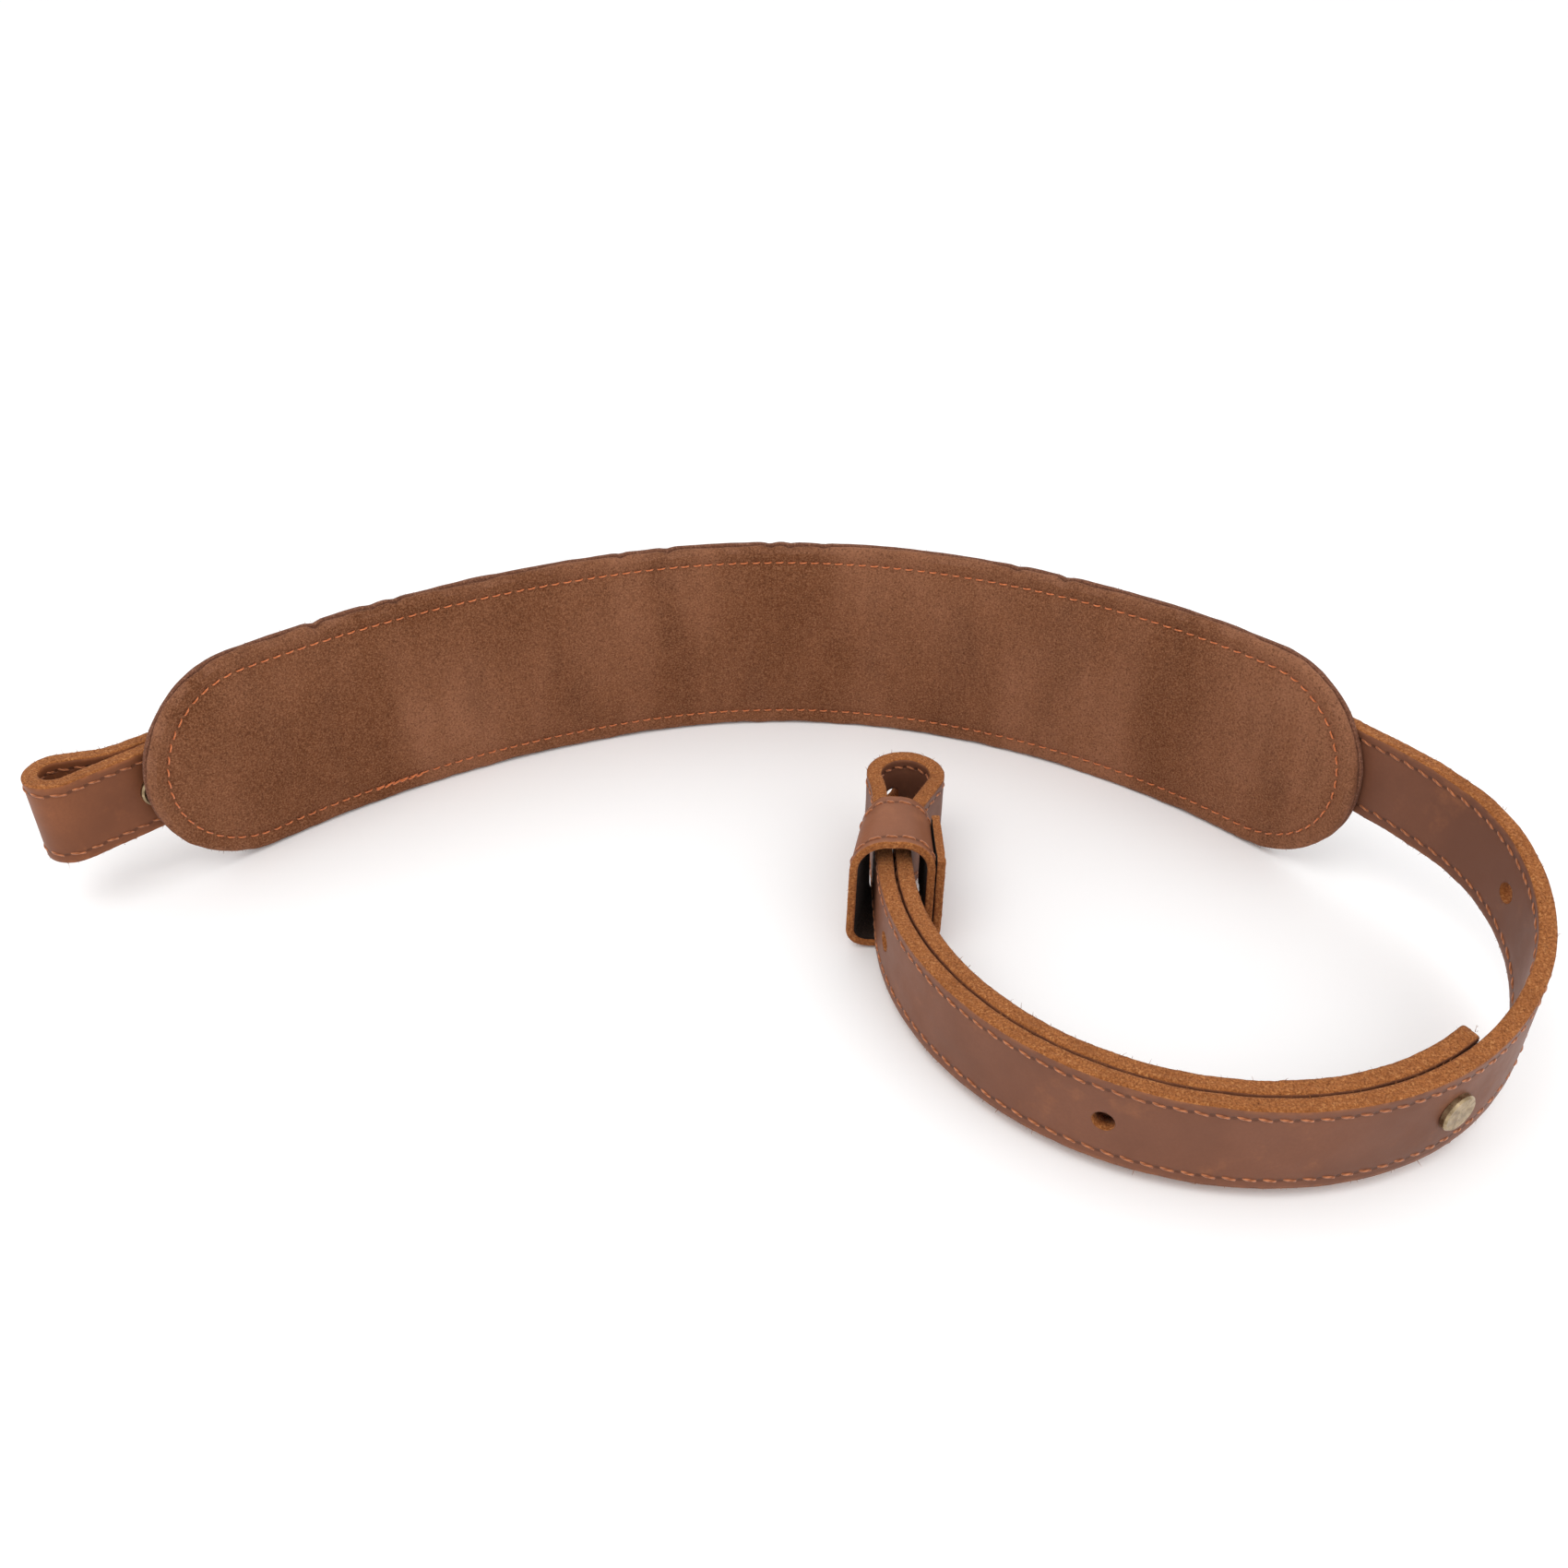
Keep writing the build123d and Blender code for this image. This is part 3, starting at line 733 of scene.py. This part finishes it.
def floor_look():
    """Pale paper with the faintest mottling."""
    look = Look("pale_floor", Specular_IOR_Level=0.1)
    colour = look.mix(look.noise(6, 3), linear(252, 252, 253), linear(254, 254, 254))
    rough = look.spread(look.noise(40, 2), 0.3, 0.7, 0.85, 0.95)
    return look.finish(colour, rough, look.bump(look.noise(300, 2), 0.02, 0.2))


strap_grain = smooth_leather("strap_grain", linear(121, 77, 57), linear(106, 67, 50),
                             linear(148, 94, 62), STRAP_WIDTH, SEAM_INSET)
loop_grain = smooth_leather("loop_grain", linear(130, 78, 50), linear(110, 65, 43),
                            linear(156, 94, 56), STRAP_WIDTH, SEAM_INSET)
keeper_grain = smooth_leather("keeper_grain", linear(142, 91, 66), linear(124, 79, 57),
                              linear(160, 105, 74), KEEPER_LENGTH, KEEPER_SEAM_INSET)
back_grain = smooth_leather("pad_back_grain", linear(112, 74, 58), linear(84, 54, 42),
                            linear(138, 92, 68), 1000.0, 0.0)
raw_edge = raw_leather("raw_edge", linear(170, 105, 56), linear(124, 71, 34), linear(198, 138, 84))
# Near-black inside of the keeper: painted shade where little light gets in.
keeper_inside_shade = raw_leather("keeper_inside_shade", linear(52, 36, 27), linear(34, 24, 18), linear(70, 50, 38))
suede_face = suede("suede_nap")
# The rim's fold is paler than the face: painted light on the turned edge, also used for the rim's
# fibres.
lit_suede_fold = suede("lit_suede_fold", edge=True)
dark_edge = raw_leather("pad_layers", linear(136, 90, 68), linear(100, 62, 46), linear(166, 122, 98))
strap_thread = thread("strap_thread", linear(190, 116, 70), linear(142, 82, 48))
pad_thread = thread("pad_thread", linear(232, 132, 72), linear(186, 98, 50))
brass = antique_brass("antique_brass")


# Pad


STRAIGHT_COUNT = 280           # points along each long side of the pad, and round each end
ARC_COUNT = 92
PAD_POINT_STEP = 1.15
CLOTH_FRAMES = 20
COVER_PRESSURE = 4.0
COVER_STIFFNESS = 8.0
COVER_POINT_MASS = 0.001       # kg
MOST_SHIFT = 1.5               # the filling moves no point of the cover further than this
PLEATS = [(chance.uniform(0, 260), chance.uniform(0.5, 1.0)) for _ in range(11)]


def round_pad():
    """Points round the pad's edge, as (distance along the face, height) pairs."""
    radius = PAD_HEIGHT / 2
    first, last = radius, pad_face.length - radius
    spots = [(first + (last - first) * i / STRAIGHT_COUNT, 0.0, 1.0) for i in range(STRAIGHT_COUNT)]
    for i in range(ARC_COUNT):
        angle = math.pi * (0.5 - i / ARC_COUNT)
        spots.append((last, math.cos(angle), math.sin(angle)))
    spots += [(last - (last - first) * i / STRAIGHT_COUNT, 0.0, -1.0) for i in range(STRAIGHT_COUNT)]
    for i in range(ARC_COUNT):
        angle = -math.pi * (0.5 + i / ARC_COUNT)
        spots.append((first, math.cos(angle), math.sin(angle)))
    return [(s + out * radius, radius + up * radius) for s, out, up in spots]


def on_pad(along, height, offset):
    x, y = shifted(pad_face.at(along), offset)
    return x * MM, y * MM, height * MM


def pad_shell(name, profile, materials, slots, waviness, seed):
    """Closed skin from rings (inset, offset) that run round the pad; both ends meet in its middle."""
    points, faces, uvs, face_slots = [], [], [], []
    spots = round_pad()
    radius = PAD_HEIGHT / 2
    for ring, (inset, offset) in enumerate(profile):
        for i, (edge_s, edge_z) in enumerate(spots):
            inner = min(max(edge_s, radius), pad_face.length - radius)
            share = (radius - inset) / radius
            s = inner + (edge_s - inner) * share
            z = radius + (edge_z - radius) * share
            rim = math.exp(-(inset / 2.6) ** 2)
            round_at = i * PAD_POINT_STEP
            top = 1.0 if edge_z > 40 else 0.55
            drift = waviness * top * rim * ripple(round_at / 13, seed, ring * 0.03)
            drift += 0.4 * waviness * rim * ripple(round_at / 4.3, seed + 3, ring * 0.03)
            for pleat, depth in PLEATS:
                drift -= 1.6 * waviness * rim * depth * math.exp(-((round_at - pleat) / 1.5) ** 2)
            pucker = 0.16 * math.exp(-((inset - PAD_SEAM_INSET) / 2.2) ** 2)
            sink = pucker * math.cos(2 * math.pi * round_at / PAD_PITCH)
            swell = 0.35 * min(inset / 12, 1) * ripple(s / 22, z / 22, seed + 8)
            outward = Vector((edge_s - inner, edge_z - radius)).normalized()
            points.append(on_pad(s + outward.x * drift, max(z + outward.y * drift, 0.0),
                                 offset + (sink + swell if offset < 2.5 else 0.0)))
            uvs.append((round_at, inset))
    count = len(spots)
    for ring in range(len(profile) - 1):
        for j in range(count):
            k = (j + 1) % count
            a, b = ring * count, (ring + 1) * count
            faces.append((a + j, b + j, b + k, a + k))
            face_slots.append(slots[ring])
    for first in (0, (len(profile) - 1) * count):
        lower = first + STRAIGHT_COUNT + ARC_COUNT
        for i in range(STRAIGHT_COUNT):
            below = [lower + STRAIGHT_COUNT - i - shift for shift in (1, 0)]
            faces.append((first + i, first + i + 1, *below))
        faces.append([first + STRAIGHT_COUNT + i for i in range(ARC_COUNT + 1)])
        left_end = lower + STRAIGHT_COUNT
        faces.append([left_end + i for i in range(ARC_COUNT)] + [first])
        face_slots += [GRAIN] * (STRAIGHT_COUNT + 2)
    return new_piece(name, points, faces, materials, face_slots, uvs)


def fill_cover(cover, held):
    """Let air pressure fill a sewn cover held along its seams, and keep the shape it takes."""
    flat = [vertex.co.copy() for vertex in cover.data.vertices]
    cover.vertex_groups.new(name="held").add(held, 1.0, "REPLACE")
    cloth = cover.modifiers.new("filling", "CLOTH")
    settings = cloth.settings
    settings.vertex_group_mass = "held"
    settings.mass = COVER_POINT_MASS
    settings.quality = 4
    for kind in ("tension", "compression", "shear"):
        setattr(settings, f"{kind}_stiffness", COVER_STIFFNESS)
    settings.use_pressure = True
    settings.uniform_pressure_force = COVER_PRESSURE
    settings.effector_weights.gravity = 0.0
    cloth.point_cache.frame_end = CLOTH_FRAMES
    for step in range(1, CLOTH_FRAMES + 1):
        bpy.context.scene.frame_set(step)
    shown = cover.evaluated_get(bpy.context.evaluated_depsgraph_get())
    filled = [vertex.co.copy() for vertex in shown.data.vertices]
    cover.modifiers.remove(cloth)
    cover.vertex_groups.clear()
    for vertex, start, end in zip(cover.data.vertices, flat, filled):
        shift = end - start
        if shift.length > MOST_SHIFT * MM:
            shift.length = MOST_SHIFT * MM
        vertex.co = start + shift
    bpy.context.scene.frame_set(1)


MID = PAD_HEIGHT / 2 - 0.02
suede_profile = [
    (MID, 2.6), (20, 2.7), (9, 2.8), (3, 2.95), (0.9, 2.95), (0.35, 2.7), (0.05, 2.2), (0.0, 1.6),
    (0.1, 1.0), (0.4, 0.45), (0.9, 0.12), (1.7, -0.08), (2.8, -0.1), (3.8, -0.02), (4.5, 0.22),
    (5.1, 0.36), (5.7, 0.2), (6.6, -0.15), (8.0, -0.45), (10, -0.75), (13, -1.0), (17, -1.15),
    (22, -1.25), (27, -1.3), (MID, -1.3),
]
suede_slots = [0] * 4 + [1] * 7 + [0] * 13
pad_cover = pad_shell("pad_cover", suede_profile, [suede_face, lit_suede_fold], suede_slots, 0.75, 1.7)
ring_points = 2 * (STRAIGHT_COUNT + ARC_COUNT)
held_points = []
for ring, (inset, offset) in enumerate(suede_profile):
    if offset > 0 or inset < PAD_SEAM_INSET + 1:
        held_points += range(ring * ring_points, (ring + 1) * ring_points)
fill_cover(pad_cover, held_points)
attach(pad_cover, "pad")
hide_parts("pad_suede_lining", "pad_foam_core")

back_profile = [
    (MID, 3.0), (3, 3.02), (0.3, 3.05), (-0.15, 3.3), (-0.1, 3.62), (0.25, 3.75), (-0.05, 3.9),
    (0.0, 4.3), (0.3, 4.58), (1.0, 4.66), (3.0, 4.62), (4.6, 4.45), (5.1, 4.38), (5.6, 4.45), (7, 4.62),
    (12, 4.7), (20, 4.72), (MID, 4.72),
]
back_slots = [1] * 8 + [0] * 9
pad_backing = pad_shell("pad_backing", back_profile, [back_grain, dark_edge], back_slots, 0.35, 6.2)
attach(pad_backing, "pad")
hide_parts("pad_leather_back")


# Straps


def even_spots(start, end):
    """Stitch centres at whole multiples of the pitch."""
    first = math.ceil(start / STITCH_PITCH)
    last = math.floor(end / STITCH_PITCH)
    return [k * STITCH_PITCH for k in range(first, last + 1)]


def punch(piece, line, put, spots):
    """Cut round holes through a strap at distances along its line."""
    around = 24
    for number, along in enumerate(spots):
        place = line.at(along)
        middle = Vector(put(place, 0.0, STRAP_WIDTH / 2))
        way = math.radians(place[2])
        axis = Vector((-math.sin(way), math.cos(way), 0))
        flat = Vector((math.cos(way), math.sin(way), 0))
        points = []
        for end in (-HOLE_REACH, HOLE_REACH):
            for j in range(around):
                angle = 2 * math.pi * j / around
                rim = flat * math.cos(angle) + Vector((0, 0, 1)) * math.sin(angle)
                points.append(tuple(middle + (rim * HOLE_RADIUS + axis * end) * MM))
        faces = [(j, (j + 1) % around, around + (j + 1) % around, around + j) for j in range(around)]
        faces.append(list(reversed(range(around))))
        faces.append(list(range(around, 2 * around)))
        cutter = new_piece(f"cutter_{number}", points, faces, [strap_grain, raw_edge],
                           [RAW] * len(faces))
        cut = piece.modifiers.new("hole", "BOOLEAN")
        cut.operation = "DIFFERENCE"
        cut.solver = "EXACT"
        cut.object = cutter
        graph = bpy.context.evaluated_depsgraph_get()
        mesh = bpy.data.meshes.new_from_object(piece.evaluated_get(graph))
        piece.modifiers.clear()
        piece.data = mesh
        bpy.data.objects.remove(cutter)


SEAMS = (SEAM_INSET, STRAP_WIDTH - SEAM_INSET)


def strap(name, line, put, start, end, grain, seed, round_end=False):
    return band(name, line, start, end, put, LAYER, STRAP_WIDTH, SEAMS, [grain, raw_edge],
                round_end=round_end, seed=seed)


def seam_rows(name, line, put, start, end, sides=(1, -1)):
    """Both rows of stitches on the chosen faces of a strap, as one piece."""
    made = []
    for row, seam in enumerate(SEAMS):
        for side in sides:
            centres = even_spots(start, end)
            made.append(stitches(f"{name}_{row}_{side}", line, put, centres, seam,
                                 side * (LAYER - STITCH_SUNK), side, strap_thread, slant=0.8 * side))
    return join(name, made)


def cross_rows(name, line, put, side):
    """Two short rows across a sewn tab, near both of its ends."""
    centres = even_spots(SEAM_INSET + CROSS_LOW, STRAP_WIDTH - SEAM_INSET - CROSS_HIGH)
    made = []
    for number, seam in enumerate((SEAM_INSET, TAB_SEWN - SEAM_INSET)):
        made.append(stitches(f"{name}_{number}", line, put, centres, seam,
                             side * (LAYER - CROSS_SUNK), side, strap_thread, turned=True))
    return made


def join(name, made):
    """Join pieces into the first."""
    with bpy.context.temp_override(active_object=made[0], selected_editable_objects=made,
                                   selected_objects=made, object=made[0]):
        bpy.ops.object.join()
    made[0].name = name
    made[0].data.name = name
    return made[0]


def edge_strands(name, line, put, start, end, width=STRAP_WIDTH, half=LAYER, longest=1.5):
    """Fibres along both cut edges of a band."""
    spots = []
    for _ in range(int((end - start) * FIBRES * 2)):
        along = chance.uniform(start, end)
        top = chance.random() < 0.62
        offset = chance.uniform(-half, half)
        across = width if top else 0.0
        place = line.at(along)
        root = Vector(put(place, offset, across)) / MM
        inner = Vector(put(place, offset, width / 2)) / MM
        beside = Vector(put(place, 0.0, across)) / MM
        way = (root - inner).normalized() + 0.5 * (root - beside) / half
        spots.append((root, way))
    return strands(name, spots, raw_edge, longest)


# right tab, its bend, and the long strap
LONG_NEAR = LONG_FLEX_AT - BRIDGE
LONG_FAR = LONG_FLEX_AT + BRIDGE
right_tab = strap("right_tab", long_line, on_long, 0.0, LONG_NEAR, strap_grain, 2.0)
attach(right_tab, "pad")
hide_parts("right_tab_outer_layer", "right_tab_inner_layer")
long_bend = strap("long_strap_bend", long_line, on_long, LONG_NEAR, LONG_FAR, strap_grain, 2.0)
long_strap = strap("long_strap", long_line, on_long, LONG_FAR, long_line.length, strap_grain, 2.0, True)
punch(long_strap, long_line, on_long, [SCREW_AT + far for far in HOLES_FROM_SCREW])
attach(long_strap, "long_strap")
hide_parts("long_strap_outer_layer", "long_strap_inner_layer")

tab_rows = seam_rows("right_tab_rows", long_line, on_long, ROW_FROM, LONG_NEAR - ROW_LEAVES, (1,))
inner_rows = seam_rows("right_tab_inner_rows", long_line, on_long, TAB_SEWN + FACING_PAD,
                       LONG_NEAR - ROW_LEAVES, (-1,))
crossings = cross_rows("right_cross", long_line, on_long, 1)
right_stitching = join("right_tab_stitches", [tab_rows, inner_rows] + crossings)
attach(right_stitching, "pad")
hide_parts("right_tab_stitching")
bend_stitching = seam_rows("long_strap_bend_stitches", long_line, on_long, LONG_NEAR - ROW_JOINS,
                           LONG_FAR - ROW_LEAVES)
long_stitching = seam_rows("long_strap_stitches", long_line, on_long, LONG_FAR - ROW_JOINS,
                           long_line.length - ROW_SHORT)
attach(long_stitching, "long_strap")
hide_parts("long_strap_upper_stitching", "long_strap_lower_stitching")
long_fuzz = edge_strands("long_strap_fuzz", long_line, on_long, LONG_FAR, long_line.length)
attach(long_fuzz, "long_strap")


def bend_end(line, along):
    """Frame point at one end of a bend."""
    x, y, _ = line.at(along)
    return x * MM, y * MM, BEND_MIDDLE * MM


near = bend_end(long_line, LONG_NEAR)
far = bend_end(long_line, LONG_FAR)
for bend in (long_bend, bend_stitching):
    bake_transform(bend)

# left tab, its bend, and the closed loop
LEFT_NEAR = LEFT_FLEX_AT - BRIDGE
LEFT_FAR = LEFT_FLEX_AT + BRIDGE
left_tab = strap("left_tab", left_line, on_left, 0.0, LEFT_NEAR, loop_grain, 5.0)
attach(left_tab, "pad")
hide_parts("left_tab_outer_layer", "left_tab_inner_layer")
left_bend = strap("left_loop_bend", left_line, on_left, LEFT_NEAR, LEFT_FAR, loop_grain, 5.0)
left_loop = strap("left_loop", left_line, on_left, LEFT_FAR, left_line.length, loop_grain, 5.0, True)
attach(left_loop, "left_loop")
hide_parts("left_loop_outer_layer", "left_loop_inner_layer")
left_rows = seam_rows("left_tab_rows", left_line, on_left, ROW_FROM, LEFT_NEAR - ROW_LEAVES, (-1,))
crossings = cross_rows("left_cross", left_line, on_left, -1)
left_stitching = join("left_tab_stitches", [left_rows] + crossings)
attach(left_stitching, "pad")
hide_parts("left_tab_stitching")
left_bend_stitching = seam_rows("left_loop_bend_stitches", left_line, on_left, LEFT_NEAR - ROW_JOINS,
                                LEFT_FAR - ROW_LEAVES, sides=(-1,))
loop_stitching = seam_rows("left_loop_stitches", left_line, on_left, LEFT_FAR - ROW_JOINS,
                           left_line.length - ROW_SHORT)
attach(loop_stitching, "left_loop")
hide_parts("left_loop_upper_stitching", "left_loop_lower_stitching")
left_fuzz = edge_strands("left_loop_fuzz", left_line, on_left, LEFT_FAR, left_line.length)
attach(left_fuzz, "left_loop")
near = bend_end(left_line, LEFT_NEAR)
far = bend_end(left_line, LEFT_FAR)
for bend in (left_bend, left_bend_stitching):
    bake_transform(bend)

# keeper
keeper_seams = (KEEPER_SEAM_INSET, KEEPER_LENGTH - KEEPER_SEAM_INSET)
keeper = band("keeper_loop", keeper_line, 0.0, keeper_line.length, on_keeper, KEEPER_BAND / 2,
              KEEPER_LENGTH, keeper_seams, [keeper_grain, raw_edge, keeper_inside_shade], step=0.6, seed=8.0)
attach(keeper, "keeper")
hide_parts("keeper_band")
keeper_rows = []
for number, seam in enumerate(keeper_seams):
    centres = even_spots(keeper_line.steps[0][0] * 0.55, keeper_line.length - 2.5)
    keeper_rows.append(stitches(f"keeper_row_{number}", keeper_line, on_keeper, centres, seam,
                                -KEEPER_BAND / 2 + 0.1, -1, strap_thread, slant=0.5))
keeper_stitching = join("keeper_stitches", keeper_rows)
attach(keeper_stitching, "keeper")
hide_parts("keeper_near_stitching", "keeper_far_stitching")
keeper_fuzz = edge_strands("keeper_fuzz", keeper_line, on_keeper, 0.0, keeper_line.length,
                           KEEPER_LENGTH, KEEPER_BAND / 2, 1.0)
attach(keeper_fuzz, "keeper")


# Stitching round the pad, on its face and its back


class Outline:
    """A line round the pad at an inset, given as (along, height, heading of travel)."""

    def __init__(self, inset):
        self.radius = PAD_HEIGHT / 2 - inset
        self.first = PAD_HEIGHT / 2
        self.last = pad_face.length - PAD_HEIGHT / 2
        self.straight = self.last - self.first
        self.arc = math.pi * self.radius
        self.length = 2 * (self.straight + self.arc)

    def at(self, distance):
        distance %= self.length
        middle = PAD_HEIGHT / 2
        if distance < self.straight:
            return self.first + distance, middle + self.radius, 0.0
        distance -= self.straight
        if distance < self.arc:
            turn = distance / self.radius
            return (self.last + self.radius * math.sin(turn),
                    middle + self.radius * math.cos(turn), -math.degrees(turn))
        distance -= self.arc
        if distance < self.straight:
            return self.last - distance, middle - self.radius, 180.0
        distance -= self.straight
        turn = distance / self.radius
        return (self.first - self.radius * math.sin(turn),
                middle - self.radius * math.cos(turn), 180 - math.degrees(turn))


def on_outline(place, offset, across):
    """On a line round the pad."""
    along, height = shifted(place, across)
    return on_pad(along, height, offset)


def pad_stitches(name, offset, side, slant):
    """A row of stitches all round the pad, on its face or its back."""
    outline = Outline(PAD_SEAM_INSET)
    count = round(outline.length / PAD_PITCH)
    pitch = outline.length / count
    centres = [pitch * k + chance.uniform(-0.12, 0.12) for k in range(count)]
    return stitches(name, outline, on_outline, centres, 0.0, offset, side, pad_thread, length=2.7,
                    radius=0.23, slant=slant, rise=0.2)


face_row = pad_stitches("pad_face_row", 0.1, -1, 0.25)
back_row = pad_stitches("pad_back_row", PAD_THICKNESS - 0.2, 1, -0.25)
outline = Outline(PAD_SEAM_INSET)
lock_at = outline.straight + outline.arc + outline.straight - LOCK_BACK
lock_centres = [lock_at + LOCK_PITCH * k for k in range(6)]
lock = stitches("pad_lock_row", outline, on_outline, lock_centres, 0.25, 0.0, -1, pad_thread,
                length=3.0, radius=0.32, slant=0.9, rise=0.28)
pad_stitching = join("pad_stitches", [face_row, back_row, lock])
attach(pad_stitching, "pad")
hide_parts("pad_edge_stitching")

# nap that stands out along the pad's rim
rim_spots = []
rim = Outline(0.1)
for _ in range(2600):
    place = rim.at(chance.uniform(0, rim.length))
    offset = chance.uniform(0.0, PAD_THICKNESS)
    root = Vector(on_outline(place, offset, 0.0)) / MM
    inner = Vector(on_outline(place, offset, -6.0)) / MM
    if root.z > 1.2:
        rim_spots.append((root, (root - inner).normalized()))
pad_fuzz = strands("pad_fuzz", rim_spots, lit_suede_fold, 0.8)
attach(pad_fuzz, "pad")

# Metal
for node in ("long_strap_screw_post", "long_strap_screw", "left_loop_screw_post", "left_loop_screw"):
    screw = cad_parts[node]
    screw.data.materials.clear()
    screw.data.materials.append(brass)

# Floor, light and camera
FLOOR_REACH = 6000.0           # half of its side
LAMP_SIZE = 1.4                # metres across
FLOOR_DROP = 0.4               # below the lowest point of the strap
floor_z = cad_box[0][2] - FLOOR_DROP * MM
corners = [(-1, -1), (1, -1), (1, 1), (-1, 1)]
floor = new_piece("floor", [(x * FLOOR_REACH * MM, y * FLOOR_REACH * MM, floor_z) for x, y in corners],
                  [(0, 1, 2, 3)], [floor_look()])


def area_light(name, spot, aim, power, colour):
    """A soft round lamp that faces its aim; places in metres, power in watts."""
    data = bpy.data.lights.new(name, "AREA")
    data.shape = "DISK"
    data.size = LAMP_SIZE
    data.energy = power
    data.color = colour
    light = bpy.data.objects.new(name, data)
    light.location = spot
    light.rotation_euler = (Vector(aim) - Vector(spot)).to_track_quat("-Z", "Y").to_euler()
    bpy.context.scene.collection.objects.link(light)


area_light("key", (-0.7, -0.8, 1.9), (0, 0, 0), 11, (1.0, 0.99, 0.97))
area_light("fill", (1.1, -1.1, 1.2), (0.05, 0, 0), 4.5, (0.97, 0.98, 1.0))

bpy.context.scene.view_settings.view_transform = "Standard"
world = bpy.data.worlds.new("studio")
bpy.context.scene.world = world
world.use_nodes = True
background = world.node_tree.nodes["Background"].inputs
background["Color"].default_value = (1.0, 1.0, 1.0, 1.0)
background["Strength"].default_value = 1.0

camera_data = bpy.data.cameras.new("camera")
camera_data.lens = CAMERA_LENS
camera_data.clip_start = 0.01
camera = bpy.data.objects.new("camera", camera_data)
tilt = math.radians(CAMERA_ELEVATION)
back = Vector((0, -math.cos(tilt), math.sin(tilt))) * CAMERA_DISTANCE
camera.location = (Vector(CAMERA_TARGET) + back) * MM
camera.rotation_euler = (math.radians(90 - CAMERA_ELEVATION), 0, 0)
bpy.context.scene.collection.objects.link(camera)
bpy.context.scene.camera = camera
